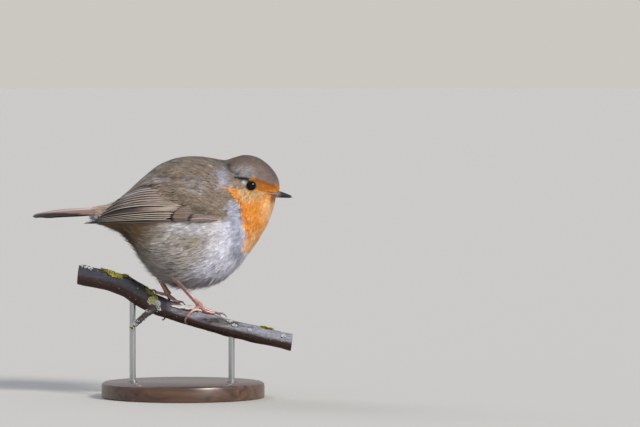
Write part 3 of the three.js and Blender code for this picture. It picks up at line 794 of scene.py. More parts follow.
def clear_of(points):
    """True for the barbs, rows of points, that stay off the legs, the eyes and the corners of the mouth."""
    clear = np.ones(points.shape[:-2], bool)
    for foot in FEET.values():
        low, high = by_branch(foot["x"], foot["degrees"], SOLE), np.array(foot["heel"])
        axis = unit(high - low)
        along = (points - low) @ axis
        off = np.linalg.norm(points - low - along[..., None] * axis, axis=-1)
        near = (off < 1.7) & (along > 4) & (along < foot["shows"])
        clear &= ~near.any(-1)
    for side in SIDES.values():
        centre, out, _, _ = eye_frame(side)
        outward = (points - centre) @ out
        round_ = np.linalg.norm(points - centre - outward[..., None] * out, axis=-1)
        clear &= ~((round_ < 2.62) & (outward > 0)).any(-1)
        for k, spot in enumerate(spline(gape_line(side), np.linspace(0, 1, 16))):
            clear &= ~(((points - spot) ** 2).sum(-1) < (0.35 + 0.045 * k) ** 2).any(-1)
    return clear


UNDER_WING = ((-11, 108), (-20, 107), (-30, 102.5), (-36, 98), (-36, 93.5), (-5, 93.5), (-6, 98))


def under_wing(s, a):
    """True for places that the long wing feathers hide, where no coat is needed."""
    view = FORM.at(s, a)[2]
    return (outline_distance(UNDER_WING, view[..., 0], view[..., 1]) > 1.0) & (np.abs(np.sin(a)) > 0.55)


PIECE_LIMIT = 190000  # triangles


class ROBIN_OT_coat(bpy.types.Operator):
    """Grows the coat: feathers of loose barbs that lie from the bill back to the tail"""

    bl_idname = "robin.coat"
    bl_label = "Coat"

    def execute(self, context):
        sizes, colours = context.scene.robin_coat, context.scene.robin_plumage
        surface = feather_material()
        for name, slot, low_r, high_r, barbs, levels in (
            ("face", "face_feathers", 0.15, 4.6, 9, 3), ("head", "nape_feathers", 4.4, 8.6, 14, 3),
            ("body", "body_feathers", 8.3, 19.9, 34, 4),
        ):
            rng = np.random.default_rng(sizes.seed + len(name) * 101 + barbs)
            self.zone(sizes, colours, surface, rng, name, slot, low_r, high_r, barbs, levels)
        self.locks(sizes, colours, surface, np.random.default_rng(sizes.seed + 5))
        lid_feathers(colours, surface, np.random.default_rng(sizes.seed))
        return {"FINISHED"}

    def locks(self, sizes, colours, surface, rng):
        """Pale-tipped locks that stand off the belly and the rear and break their outline."""
        barbs, levels = 9, 4
        s0, a0 = spread_roots(rng, lambda s, a: 1.15 + 0 * s, 40000, 9.0, 18.6)
        r, low = s0 * RIB_SPAN, low_side(a0)
        wanted = ramp(low, 0.52, 0.75) * (0.35 + 0.65 * ramp(low, 0.8, 0.95))
        keep = rng.uniform(0, 1, len(s0)) < wanted
        s0, a0, r, low = s0[keep], a0[keep], r[keep], low[keep]
        outer = ramp(low, 0.7, 0.95)
        points, facing, tips, views, span, uv = grow(rng, s0, a0, barbs, levels, {
            "length": 6.5 + 2.0 * outer - 2.0 * ramp(r, 16.5, 18.5),
            "half_width": 0.3,
            "barb_width": 0.22,
            "depth": coat_depth(sizes, s0, a0),
            "lift": 0.7 + 1.5 * outer,
            "follow": 0.7 - 0.3 * outer,
            "swirl": 0.0,
            "clump": 1.0,
        })
        tone = plumage(colours, tips, views, rng.normal(0, 0.5, (len(s0), 1)))
        x, z = views[..., 0], views[..., 1]
        pale = 0.45 * ramp(x, -34, -14) * ramp(102 - z, 0, 20) * ramp(30 - x, 0, 3)
        tone = blend(tone, np.array(colours.belly), pale)
        tone = tone * rng.uniform(0.75, 1.2, (len(s0), 1))[..., None]
        # Darker towards the roots: grey feather bases, with painted shade.
        tones = tone[:, :, None, :] * (0.72 + 0.4 * span)[None, None, :, None]
        clear = clear_of(points)
        arrays = (v[clear] for v in (points, tones, uv, facing))
        barb_piece("coat_locks", surface, "body_feathers", levels, *arrays)

    def zone(self, sizes, colours, surface, rng, name, slot, low_r, high_r, barbs, levels):
        """Grows and colours the feathers between two ribs, in pieces of less than 200,000 triangles."""

        def spacing(s, a):
            r = s * RIB_SPAN
            return (0.31 + 0.2 * ramp(r, 3, 6) + 0.42 * ramp(r, 6, 10)
                    + 0.3 * ramp(r, 9, 13)) * (1 - 0.3 * ramp(r, 19, 21))

        s0, a0 = spread_roots(rng, spacing, 120000, low_r, high_r)
        seen = ~under_wing(s0, a0)
        s0, a0 = s0[seen], a0[seen]
        r, low = s0 * RIB_SPAN, low_side(a0)
        face, head, back, belly = (v / MM for v in (
            sizes.face_length, sizes.head_length, sizes.back_length, sizes.belly_length))
        length = mix(mix(face, head, ramp(r, 2, 6)),
                     mix(back, belly, ramp(low, 0.4, 0.65)), ramp(r, 6.5, 12))
        length = length * (1 - 0.3 * ramp(r, 18, 21))
        loose = ramp(low, 0.45, 0.7) * ramp(r, 9.5, 12)
        rear = ramp(r, 12.5, 15) * (1 - ramp(r, 17, 18.5)) * ramp(low, 0.5, 0.62)
        on_right = np.where(np.sin(a0) >= 0, 1.0, -1.0)
        ragged = ramp(low, 0.62, 0.85) * ramp(r, 9, 12) * (1 - 0.7 * ramp(r, 16.5, 18.5))
        middle = (ramp(r, 9.5, 12) * (1 - ramp(r, 12.5, 15))
                  * ramp(low, 0.45, 0.55) * (1 - ramp(low, 0.75, 0.9)))
        roots = FORM.at(s0, a0)[2]
        hem = outline_distance(SHOULDER, roots[:, 0], roots[:, 1])
        hem = ramp(hem, -0.5, 1.0) * ramp(9.0 - hem, 0, 4) * ramp(-roots[:, 0], -3, 3)
        points, facing, tips, views, span, uv = grow(rng, s0, a0, barbs, levels, {
            "length": length,
            "half_width": length * 0.19,
            "barb_width": 0.10 + 0.03 * ramp(r, 3, 8) + 0.04 * ramp(r, 8, 12),
            "depth": coat_depth(sizes, s0, a0),
            "lift": 0.05 + 0.12 * ramp(r, 7, 11) + 0.6 * loose + 1.3 * ragged,
            "follow": 1 - 0.5 * loose - 0.45 * ragged - 0.75 * hem,
            "swirl": on_right * (0.45 * rear * (1 - ramp(low, 0.85, 0.98)) + 0.45 * middle),
            "clump": 0.15 + 0.35 * loose + 0.35 * ragged,
        })
        jitter = rng.normal(0, 1, (len(s0), 1))
        own = rng.normal(0, 1, tips.shape[:2])
        tone = plumage(colours, tips, views, 0.6 * jitter + 0.8 * own)
        shade = 1 + 0.12 * jitter + (0.1 + 0.1 * loose[:, None]) * own
        tone = tone * np.clip(shade, 0.45, 1.6)[..., None]
        # Barbs darker towards their roots: grey feather bases, with painted shade under the barbs above; the
        # broad leaf under them darker again.
        deep = mix(1.0, 0.82, loose)[:, None, None]
        dark = deep + (1 - deep) * np.clip(span * 1.6, 0, 1)
        dark = np.repeat(dark, barbs, 1)
        dark[:, 0] *= 0.95
        tones = np.clip(tone[:, :, None, :] * dark[..., None], 0, 1)
        clear = clear_of(points)
        barb_arrays = [v[clear] for v in (points, tones, uv, facing)]
        tops = np.broadcast_to(low[:, None], clear.shape)[clear]
        pieces = math.ceil(len(tops) * (2 * levels - 3) / PIECE_LIMIT)
        part = np.digitize(tops, np.quantile(tops, np.linspace(0, 1, pieces + 1)[1:-1]))
        for k in range(pieces):
            barb_piece(f"coat_{name}_{k + 1}", surface, slot, levels, *(v[part == k] for v in barb_arrays))


def barb_piece(name, surface, slot, levels, points, tones, uv, facing=None):
    """A finished piece of barbs, from rows of points."""
    return from_arrays(
        name, points.reshape(-1, 3), barb_faces(len(points), levels), [surface],
        tones=np.clip(tones, 0, 1).reshape(-1, 3), uv=uv.reshape(-1, 2),
        normals=None if facing is None else facing.reshape(-1, 3), slot=slot)


EYE_RINGS = (  # radius, feathers, share of their light, pale tips, pale spot behind the eye
    (2.42, 170, 0.5, 0.10, 0.85), (2.7, 130, 0.75, 0.05, 0.85), (3.05, 110, 1.0, 0.05, 0.3))


def lid_feathers(colours, surface, rng):
    """Tiny feathers that stand round each eye like a rim and point away from it."""
    points, tones, uv = [], [], []
    t = np.array([0, 0.5, 1.0])
    for side in SIDES.values():
        centre, out, ahead, up = eye_frame(side)

        def spokes(angle):
            return ahead * np.cos(angle)[:, None] + up * np.sin(angle)[:, None] * 0.94

        for ring, count, share, pale, bright in EYE_RINGS:
            angle = TAU * (np.arange(count) + rng.uniform(-0.5, 0.5, count)) / count
            for k in range(5):
                spoke = spokes(angle + rng.normal(0, 0.10, count) + 0.12 * (k - 2))
                long = rng.uniform(0.5, 0.85, count)
                flat = spokes(angle)[:, None] * ring + spoke[:, None] * (long[:, None] * t)[..., None]
                r = np.linalg.norm(flat, axis=-1)
                rise = 1.76 - (r**2 - 2.5**2) / 25 + 0.10 * np.sin(math.pi * t) - 0.16 * (ring > 2.5)
                spine = centre + flat + out * rise[..., None]
                across = np.cross(spoke, out)[:, None] * (0.13 * np.array([1, 0.8]))[:, None] / 2
                left, right = spine[:, :2] - across, spine[:, :2] + across
                points.append(np.stack([left[:, 0], right[:, 0], left[:, 1], right[:, 1], spine[:, 2]], 1))
                tone = plumage(colours, spine[:, 2], spine[:, 2, (0, 2)], 0)
                spot = ramp(np.cos(angle - 2.75), 0.86, 0.97)
                tone = blend(tone, np.array(colours.eye_rim), pale + bright * spot)
                tone = tone * rng.uniform(0.8, 1.15, count)[:, None] * share
                tones.append(np.repeat(tone[:, None], 5, 1))
                place = np.stack([0.5 + side * (0.2 + 0.002 * flat[..., 0]), 0.15 + 0.002 * (flat @ up)], -1)
                uv.append(place[:, (0, 0, 1, 1, 2)])
    arrays = (np.concatenate(v) for v in (points, tones, uv))
    barb_piece("coat_eye_rims", surface, "face_feathers", len(t), *arrays)


# ---------------------------------------------------------------- wings and tail
class WingSurface:
    """The outer face of the folded wing: its distance from the middle plane, over a grid in side view."""

    LOW, HIGH, STEP = (-56.0, 84.0), (24.0, 116.0), 0.5

    def __init__(self):
        x = np.arange(self.LOW[0], self.HIGH[0], self.STEP)
        z = np.arange(self.LOW[1], self.HIGH[1], self.STEP)
        x, z = np.meshgrid(x, z, indexing="ij")
        on_body = body_side(x, z) + 1.0 - 2.6 * ramp(x, 15, 20)
        blade = np.minimum(6.8 + 0.42 * (x + 52), 21) - 0.045 * np.maximum(z - 92, 0) ** 2
        self.grid = (on_body + blade + np.sqrt((on_body - blade) ** 2 + 6)) / 2

    def at(self, x, z):
        """The distance at places in side view, between the grid's points."""
        i = np.clip((x - self.LOW[0]) / self.STEP, 0, self.grid.shape[0] - 1.001)
        j = np.clip((z - self.LOW[1]) / self.STEP, 0, self.grid.shape[1] - 1.001)
        i0, j0 = i.astype(int), j.astype(int)
        fi, fj, g = i - i0, j - j0, self.grid
        return ((g[i0, j0] * (1 - fj) + g[i0, j0 + 1] * fj) * (1 - fi)
                + (g[i0 + 1, j0] * (1 - fj) + g[i0 + 1, j0 + 1] * fj) * fi)

    def lay(self, x, z, height, side):
        """Points at a height off the face of one side's wing."""
        slope_x = (self.at(x + 0.6, z) - self.at(x - 0.6, z)) / 1.2
        slope_z = (self.at(x, z + 0.6) - self.at(x, z - 0.6)) / 1.2
        out = unit(np.stack([-slope_x, np.ones_like(x), -slope_z], -1))
        points = np.stack([x, self.at(x, z), z], -1) + out * height[..., None]
        return points * (1, side, 1)


# The lower edge of each long wing feather in side view, root to tip, from the innermost tertial down.
TERTIALS = (
    ((-6, 107.6), (-15, 107.1), (-21, 106.1), (-27.5, 104.1), (-34.0, 101.2)),
    ((-3, 104.6), (-14, 104.8), (-22, 103.9), (-30, 101.8), (-37.2, 98.8)),
    ((0, 102.1), (-13, 102.4), (-22, 101.6), (-31, 99.6), (-39.9, 96.2)),
    ((5, 99.6), (-10, 99.8), (-22, 99.3), (-34, 97.1), (-42.4, 93.9)),
)
SECONDARIES = (
    ((-3, 97.0), (-13, 96.85), (-23, 96.0), (-34, 94.6), (-44.0, 92.7)),
    ((-3, 95.8), (-13, 95.7), (-23, 94.9), (-34, 93.6), (-44.6, 91.9)),
    ((-3, 94.8), (-13, 94.7), (-23, 93.9), (-34, 92.8), (-46.0, 91.3)),
    ((-3, 93.8), (-13, 93.7), (-23, 93.1), (-34, 92.1), (-47.2, 90.9)),
)
PRIMARIES = (
    ((-3, 92.8), (-13, 92.7), (-23, 92.2), (-34, 91.5), (-49.2, 90.4)),
    ((2, 91.3), (-11, 91.1), (-23, 90.7), (-34, 90.4), (-52.0, 89.7)),
)
WING_TOP = ((-8, 110.6), (-15, 110.0), (-21, 108.6), (-27.5, 105.7), (-33.8, 101.6))
PRIMARY_COVERT_TOP = ((7, 99.6), (2.5, 99.8), (-0.2, 99.4))
PRIMARY_COVERTS = (
    ((7, 98.0), (2, 98.0), (-3.0, 97.7)),
    ((7, 96.0), (1, 95.9), (-5.3, 95.6)),
    ((7, 94.0), (1, 93.8), (-5.9, 93.6)),
    ((7, 92.2), (1, 91.9), (-5.2, 91.8)),
)
ALULA_TOP = ((18.5, 93.2), (12, 95.4), (5.0, 96.4))
ALULA = (
    ((18.5, 92.8), (11.5, 94.0), (3.4, 93.6)),
    ((18.5, 92.4), (11, 92.9), (2.8, 92.6)),
    ((18.5, 92.0), (10, 91.8), (2.4, 91.7)),
)


class Vanes:
    """Long feathers collected as joined arrays, each a sheet of rows along it and columns across."""

    ROWS, COLUMNS = 56, 12

    def __init__(self):
        self.points, self.tones, self.uv, self.grain, self.count = [], [], [], [], 0

    def shares(self):
        """Shares along a feather, closer at its tip, and across it, closer at its outer edge."""
        t = np.linspace(0, 1, self.ROWS)[:, None]
        w = np.linspace(0, 1, self.COLUMNS)[None, :]
        return 1 - (1 - t) ** 1.35, w**1.5

    def add(self, points, tones, along, across):
        """Adds a sheet with its colours, and its millimetres along and across for the barb grain."""
        self.points.append(points.reshape(-1, 3))
        self.tones.append(tones.reshape(-1, 3))
        self.grain.append(np.stack([along, across], -1).reshape(-1, 2))
        t, w = np.meshgrid(
            np.linspace(0.02, 0.98, self.ROWS), np.linspace(0.04, 0.96, self.COLUMNS), indexing="ij")
        self.uv.append(np.stack([t, w + self.count], -1).reshape(-1, 2))
        self.count += 1

    def piece(self, name, surface, **facts):
        """The finished piece."""
        rows, columns = self.ROWS, self.COLUMNS
        i, j = np.meshgrid(np.arange(rows - 1), np.arange(columns - 1), indexing="ij")
        corner = (i * columns + j).ravel()
        sheet = np.stack([corner, corner + 1, corner + columns + 1, corner + columns], -1)
        faces = (np.arange(self.count)[:, None, None] * rows * columns + sheet).reshape(-1, 4)
        uv = np.concatenate(self.uv) / (1, self.count)
        made = from_arrays(
            name, np.concatenate(self.points), faces, [surface],
            tones=np.clip(np.concatenate(self.tones), 0, 1), uv=uv, **facts)
        grain = np.concatenate(self.grain) * MM
        fill(made.data.uv_layers.new(name="barbs").data, "uv", grain[faces.ravel()])
        made.data.uv_layers["OFBake"].active_render = True
        return made


def vane_material():
    """Flight feathers: smooth keratin vanes with a satin gloss, scored by fine slanting barbs."""
    made, tree, shader = material(
        "Flight feathers, zipped keratin barbs", Roughness=0.55, Specular_IOR_Level=0.35,
        Sheen_Weight=0.08, Sheen_Roughness=0.4)
    barbs = node(tree, "ShaderNodeUVMap", {"uv_map": "barbs"})
    parts = node(tree, "ShaderNodeSeparateXYZ", Vector=barbs.outputs["UV"])
    out = node(tree, "ShaderNodeMath", {"operation": "ABSOLUTE", 0: parts.outputs["Y"]})
    wave = waves(tree, summed(tree, out.outputs[0], -1.6, parts.outputs["X"]), TAU / (0.26 * MM))
    shade = ranged(tree, wave, From_Min=-1.0, To_Min=0.9, To_Max=1.06)
    tree.links.new(scaled(tree, plumage_tone(tree), shade), shader.inputs["Base Color"])
    relief(tree, shader, wave, strength=0.35, depth=0.05)
    return made


class WingColours(bpy.types.PropertyGroup):
    web: colour("Web", "Brown of the closed webs", "574a43")
    sheen: colour("Sheen", "Lilac-brown gloss on the broad webs", "937b72")
    # Near black: painted shadow under the feather above, and the dark web, lines and tips.
    fringe: colour("Fringe", "Pale outer edge of each feather", "e6d4c4")
    shadow: colour("Shadow", "Dark web under the next feather", "100c0a")
    tip: colour("Tip", "Dark brown of the wing's end", "2c2420")
    primary_covert: colour("Primary coverts", "Darker brown of the primary coverts", "625248")
    alula: colour("Alula", "Slate centre of the alula feathers", "5b5356")
    tail_top: colour("Tail top", "Warm red-brown of the tail", "80655a")
    tail_edge: colour("Tail edge", "Pale edge of the tail feathers", "b9a8a2")
    # Near black: dark shafts and tip, and painted shadow on the tail's lower side and under side.
    tail_under: colour("Tail under side", "Dark under side of the tail", "0b0806")


def wing_feather(vanes, surface, side, lower, upper, lap, stack, paint,
                 blunt=0.9, tilt=0.24, sink=0.0, over=0.45, tuck=0.0):
    """Adds a wing feather between its lower edge and the edge above it, under which it runs on by lap.

    sink lowers its root, over that share of its length, and tuck its lower edge at the front, into the coat.
    """
    t, w = vanes.shares()
    lap = lap * (1 - ramp(t, 0.55, 0.97))
    low, high = spline(lower, t), spline(upper, t) + np.array([0, 1.0]) * lap[..., None]
    width = np.linalg.norm(high - low, axis=-1)
    closing = round_end(t, blunt)
    middle = 0.42
    share = middle + (w - middle) * closing
    place = low + (high - low) * share[..., None]
    x, z = place[..., 0], place[..., 1]
    edge = w * width * closing
    shaft = (share - 0.3) * width
    height = stack + 0.10 * np.sin(math.pi * w) - tilt * w + 0.05 * np.exp(-(shaft / 0.35) ** 2)
    height = height - 0.14 * np.exp(-(edge / 0.3)) - sink * ramp(t, over, 0.0)
    height = height - tuck * np.exp(-(edge / 0.8)) * ramp(x, -22, -8)
    below = np.maximum(width * closing - lap - edge, -1)
    length = np.linalg.norm(low[-1] - low[0])
    tones = paint(x, z, edge, below, t + 0 * w)
    vanes.add(surface.lay(x, z, height, side), tones, t * length + 0 * w, shaft)


class ROBIN_OT_wings(bpy.types.Operator):
    """Lays the feathers of both folded wings, each over the one below it"""

    bl_idname = "robin.wings"
    bl_label = "Wings"

    def execute(self, context):
        pick = palette(context.scene.robin_wing)
        surface, look = WingSurface(), vane_material()
        rng = np.random.default_rng(3)
        for name, side in SIDES.items():
            vanes = {"primaries": Vanes(), "secondaries": Vanes(), "coverts": Vanes()}
            upper, stack = WING_TOP, 0.95
            for row, group, bright, deep in (
                (TERTIALS, "secondaries", 0.62, 0.4), (SECONDARIES, "secondaries", 1.0, 1.0),
                (PRIMARIES, "primaries", 1.0, 1.0),
            ):
                for lower in row:
                    first, last, wide = (lower is v for v in (TERTIALS[0], PRIMARIES[-1], SECONDARIES[0]))
                    shine = {TERTIALS[3]: 1.0, SECONDARIES[0]: 0.5, PRIMARIES[-1]: 0.3}.get(lower, bright)
                    wing_feather(
                        vanes[group], surface, side, lower, upper, 0.3 if first else 1.0, stack,
                        self.flight(pick, rng, shine, deep, first, wide, last),
                        tilt=1.3 if first else 0.24, sink=1.6, over=0.16, tuck=1.3 if last else 0)
                    upper, stack = lower, stack - 0.12
            for row, upper, stack, drop, lap, dark_tip, rims, blunt, sink in (
                (PRIMARY_COVERTS, PRIMARY_COVERT_TOP, 0.95, 0.10, 0.8, 0.95, (0.3, 0), 0.78, 2.6),
                (ALULA, ALULA_TOP, 1.35, 0.12, 0.5, 0.8, (0.2, 0.2), 0.7, 0.5),
            ):
                for k, lower in enumerate(row):
                    centre = "primary_covert" if row is PRIMARY_COVERTS else "sheen" if k else "alula"
                    wing_feather(
                        vanes["coverts"], surface, side, lower, upper, lap if k else 0.0, stack,
                        self.covert(pick, rng, centre, dark_tip, rims[0] + rims[1] * k, first=not k),
                        blunt=blunt, sink=sink, tuck=1.2 if k == len(row) - 1 else 0)
                    upper, stack = lower, stack - drop
            for group, sheets in vanes.items():
                node_name = f"wing_{name}_{group}"
                sheets.piece(node_name, look, stands_for=(node_name,), slot="wing_feathers")
        return {"FINISHED"}

    def flight(self, pick, rng, bright, deep, first=False, wide=False, last=False):
        """The paint of a long feather: web with a painted sheen, painted shadow under the one above, pale
        rim and dark tip.

        deep below 1 is a tertial, with softer painted shadow and two dark and pale lines beside its rim.
        """
        own = rng.uniform(-0.06, 0.06)
        tertial = deep < 1
        wash = 0.4 if wide else 0.12 * tertial

        def paint(x, z, edge, below, t):
            lines = 0.5 + 0.5 * np.sin(TAU * (edge + 0.15 * np.sin(x / 5 + own * 60)) / 1.05)
            far = (not first) * mix(deep, 1.0, ramp(-x, 14, 28))
            strong = tertial * (1 - ramp(-x, 26, 36))
            rim = ramp((0.40 if tertial else 0.36) - edge, 0, 0.08)
            rim = rim * bright * (1 - 0.6 * ramp(-x, 20, 38))
            pairs = ((key, share * strong * np.exp(-((edge - at) / reach) ** 2))
                     for key, share, at, reach in RIM_LINES)
            return layered(pick["web"], pick, (
                ("sheen", ramp(x, -36, -14) * (0.2 + 0.7 * lines + 0.1 * streaks(x, z))),
                ("shadow", 0.5 * (1 - lines) * ramp(x, -40, -20)),
                ("shadow", last * 0.65 * ramp(1.1 - edge, 0, 0.4) * ramp(-x, 4, 16)),
                ("fringe", wash * ramp(x, -25, -9)),
                ("tip", 0.9 * ramp(-x, 16, 34)),
                ("shadow", 0.7 * far * ramp(1.3 - below, 0, 1.1)),
                ("shadow", far * ramp(0.72 - below, 0, 0.2)),
                *pairs,
                ("shadow", wide * 0.92 * ramp(1.25 - below, 0, 0.35)),
                ("shadow", ramp(t, 0.9, 0.99)),
                ("fringe", rim * (1 - ramp(t, 0.9, 0.98))),
                ("shadow", first * 0.9 * ramp(1.2 - below, 0, 0.5)),
            )) * (1 + own)
        return paint

    def covert(self, pick, rng, centre, dark_tip, rim, first=False):
        """The paint of a short feather: a plain centre, a pale rim, a dark tip and painted shadow under the
        feather above.
        """
        own = rng.uniform(-0.05, 0.05)

        def paint(x, z, edge, below, t):
            under = ramp(0.5 - below, 0, 0.3) * ramp(t, 0.3, 0.6) if first else (
                0.65 * ramp(0.6 - below, 0, 0.4))
            return layered(pick[centre], pick, (
                ("sheen", 0.3 + 0.36 * streaks(x, z)),
                ("shadow", (not first) * dark_tip * under),
                ("fringe", rim * ramp(0.4 - edge, 0, 0.2)),
                ("shadow", dark_tip * ramp(t, 0.84, 0.95)),
                ("shadow", first * dark_tip * under),
            )) * (1 + own)
        return paint


# Dark and pale lines beside a tertial's rim: colour, strength, distance from the edge and half width.
RIM_LINES = (("shadow", 0.72, 0.74, 0.24), ("fringe", 0.5, 1.3, 0.2),
             ("shadow", 0.72, 1.85, 0.24), ("fringe", 0.5, 2.4, 0.2))


def streaks(x, z):
    """Fine lengthwise streaks from -1 to 1."""
    return (np.sin(3.1 * z + 0.4 * np.sin(x / 3)) + np.sin(7.7 * z + x / 4)) / 2


# Where the tail's side turns to painted shadow, along it.
TAIL_SHADE_LEVELS = ((-77, -70, -65, -55, -48, -40), (94.2, 95.2, 95.4, 95.1, 94.4, 93.4))  # x, level of the edge


class ROBIN_OT_tail(bpy.types.Operator):
    """Lays the twelve tail feathers, the middle pair on top"""

    bl_idname = "robin.tail"
    bl_label = "Tail"

    def execute(self, context):
        pick = palette(context.scene.robin_wing) | palette(context.scene.robin_plumage)
        vanes = Vanes()
        t, w = vanes.shares()
        for k in (6, 5, 4, 3, 2, 1):
            for side in (-1, 1):
                outward = (k - 0.65) / 6
                half = mix(3.6, 7.6, t)
                centre = side * outward * (half - 1.9)
                wide = np.minimum(2.2 + 0.5 * t, half) * round_end(t, 0.95)
                y = centre + (2 * w - 1) * wide * side
                out = np.clip(np.abs(y) / half, 0, 1.05)
                end = -77.3 + 1.2 * (1 - outward) ** 2 + 1.6 * max(outward - 0.75, 0) * 4
                x = mix(-33.0, end, t) + 0 * y
                z = self.level(t, out) - 0.16 * (k - 1) + 0.05 * np.sin(math.pi * w)
                edge = (1 - w) * 2 * wide
                fallen = self.level(t, 0) - z
                shade_line_level = np.interp(x, *TAIL_SHADE_LEVELS)
                # Pale edges, dark shafts and tip, a painted highlight along the upper rim, and painted
                # shadow along the lower side.
                tone = layered(pick["tail_top"], pick, (
                    ("tail_edge", 0.45 + 0.4 * np.sin(2.2 * edge + k) + 0 * t),
                    ("tail_top", 0.7 * ramp(fallen, 0.7, 1.8)),
                    ("tail_edge", 0.8 * ramp(0.8 - fallen, 0, 0.4) * ramp(x, -64, -48)),
                    ("tail_under", 0.5 * (1 - ramp(np.abs(w - 0.45), 0.0, 0.05)) + 0 * t),
                    ("tail_under", 0.95 * ramp(shade_line_level - z, -0.3, 0.25)),
                    ("tail_under", 0.6 * ramp(-x, 69, 75)),
                ))
                vanes.add(np.stack([x, y, z], -1), tone, t * 44 + 0 * w, (w - 0.5) * 2 * wide)
        for k in (4, 3, 2, 1, 0):
            for side in (-1, 1):
                wide = 2.0 * round_end(t, 0.45)
                y = side * (0.6 + 1.05 * k) * mix(1.0, 1.15, t) + (2 * w - 1) * wide * side
                x = mix(-31.5, -46.5 - 1.2 * (k % 2) + 0.8 * k, t) + 0 * y
                out = np.abs(y) / np.interp(x, (-60, -33), (6.0, 3.6))
                rise = np.interp(x, (-50, -45, -40, -36, -31), (0.35, 0.5, 1.1, 2.4, 4.2))
                z = self.level((-33 - x) / 44, out) + rise - 0.10 * k
                tone = layered(pick["tail_covert"], pick, (
                    ("tail_top", 0.25 + 0.2 * np.sin(3 * w + k) + 0 * t),
                    ("tail_edge", 0.35 * ramp(t, 0.75, 0.95) + 0 * w),
                ))
                vanes.add(np.stack([x, y, z], -1), tone, t * 14 + 0 * w, (w - 0.5) * 2 * wide)
        vanes.piece("tail", vane_material(), stands_for=("tail",), slot="tail_feathers")
        self.under_side(t, w, pick["tail_under"])
        return {"FINISHED"}

    def level(self, t, out):
        """The height of the tail's arched top at shares along it and out from its middle."""
        t = np.clip(t, 0, 1)
        drop = 2.4 + 0.9 * np.sin(math.pi * np.clip(t * 1.1, 0, 1)) - 1.3 * ramp(t, 0.8, 1.0)
        return 98.7 - 1.9 * t - 2.3 * t**5 - drop * out**1.6

    def under_side(self, t, w, under):
        """The closed under side, one arched sheet a little below the feathers, darkened as painted shadow.
        """
        vanes = Vanes()
        half = mix(3.6, 7.5, t)
        y = (2 * w - 1) * half
        out = np.abs(2 * w - 1)
        end = -76.4 + 1.2 * (1 - out) ** 2 + 3 * np.maximum(out - 0.75, 0)
        x = mix(-34.0, end, t)
        z = self.level(t, 0.9) - 1.1 * (1 - 0.5 * t) + 0.3 * (1 - out)
        tone = np.broadcast_to(under * 0.7, y.shape + (3,))
        vanes.add(np.stack([x, y, z], -1), tone, t * 44 + 0 * w, y)
        vanes.piece("tail_shaded_under_side", vane_material(), slot="tail_feathers")


# ---------------------------------------------------------------- head
def sweep(path, radius, flat=1.0, upright=(0, 0, 1), blunt=0.04):
    """A place function for ball(): a closed bar along a curve, radius(share, angle) in millimetres."""
    path = np.asarray(path, float)
    u = np.linspace(0, 1, 400)
    line = spline(path, u)
    length = np.r_[0, np.cumsum(np.linalg.norm(np.diff(line, axis=0), axis=1))]
    share = length / length[-1]

    def on_line(at):
        return np.stack([np.interp(np.clip(at, 0, 1), share, line[:, k]) for k in range(3)], -1)

    def place(along, angle):
        inner = np.clip((along - blunt) / (1 - 2 * blunt), 0, 1)
        ahead = unit(on_line(inner + 0.01) - on_line(inner - 0.01))
        up = unit(np.array(upright) - ahead * (ahead @ np.array(upright))[:, None])
        across = np.cross(ahead, up)
        over = np.clip(np.minimum(along, 1 - along) / blunt, 0, 1)
        close = np.sqrt(np.clip(1 - (1 - over) ** 2, 0, 1))
        r = radius(inner, angle) * close
        off = up * (r * np.cos(angle))[:, None] + across * (r * flat * np.sin(angle))[:, None]
        return on_line(inner) + off

    return place


class HeadColours(bpy.types.PropertyGroup):
    iris: colour("Eye", "Very dark brown of iris and pupil", "0c0705")
    lid: colour("Lids", "Bare edge of the lids", "3a302b")
    bill: colour("Bill", "Slate-black horn", "221f22")
    bill_edge: colour("Bill base", "Paler horn along the edges and base", "8a7a7c")
    gape: colour("Gape", "Pink-grey corner of the mouth", "86716f")


class ROBIN_OT_eyes(bpy.types.Operator):
    """Makes the eyeballs and the rings of their lids"""

    bl_idname = "robin.eyes"
    bl_label = "Eyes"

    def execute(self, context):
        colours = context.scene.robin_head
        glass, *_ = material("Eye, wet cornea over a dark brown iris", Roughness=0.05, IOR=1.376,
                             Specular_IOR_Level=0.28, Base_Color=(*colours.iris, 1))
        rim, *_ = material("Lid skin, bare and finely creased", Roughness=0.5, Base_Color=(*colours.lid, 1))
        for name, side in SIDES.items():
            centre, out, ahead, up = eye_frame(side)
            bm = bmesh.new()

            def globe(along, angle):
                lie = np.stack([np.sin(math.pi * along) * np.cos(angle),
                                np.sin(math.pi * along) * np.sin(angle), np.cos(math.pi * along)], -1)
                return centre + lie * EYE_RADIUS

            ball(bm, globe, rings=40, sides=48)
            from_bmesh(f"eye_{name}", bm, [glass], stands_for=(f"eye_{name}",), slot="eye")
            bm = bmesh.new()
            ring_centre = centre + out * 1.60

            def lid(along, angle):
                turn = TAU * along
                r = 2.50 + 0.15 * np.cos(angle)
                flat = (ahead * (np.cos(turn) * r * (1 + 0.04 * np.abs(np.cos(turn))))[:, None]
                        + up * (np.sin(turn) * r * 0.96)[:, None])
                return ring_centre + flat + out * (0.15 * np.sin(angle) + 0.08)[:, None]

            rows, columns = 72, 12
            turn, tube = np.meshgrid(
                np.arange(rows) / rows, TAU * np.arange(columns) / columns, indexing="ij")
            verts = [bm.verts.new(p) for p in lid(turn.ravel(), tube.ravel())]
            for i in range(rows):
                for j in range(columns):
                    a, b = i * columns, (i + 1) % rows * columns
                    k = (j + 1) % columns
                    bm.faces.new([verts[a + j], verts[a + k], verts[b + k], verts[b + j]])
            from_bmesh(f"lids_{name}", bm, [rim], slot="face_feathers")
        return {"FINISHED"}


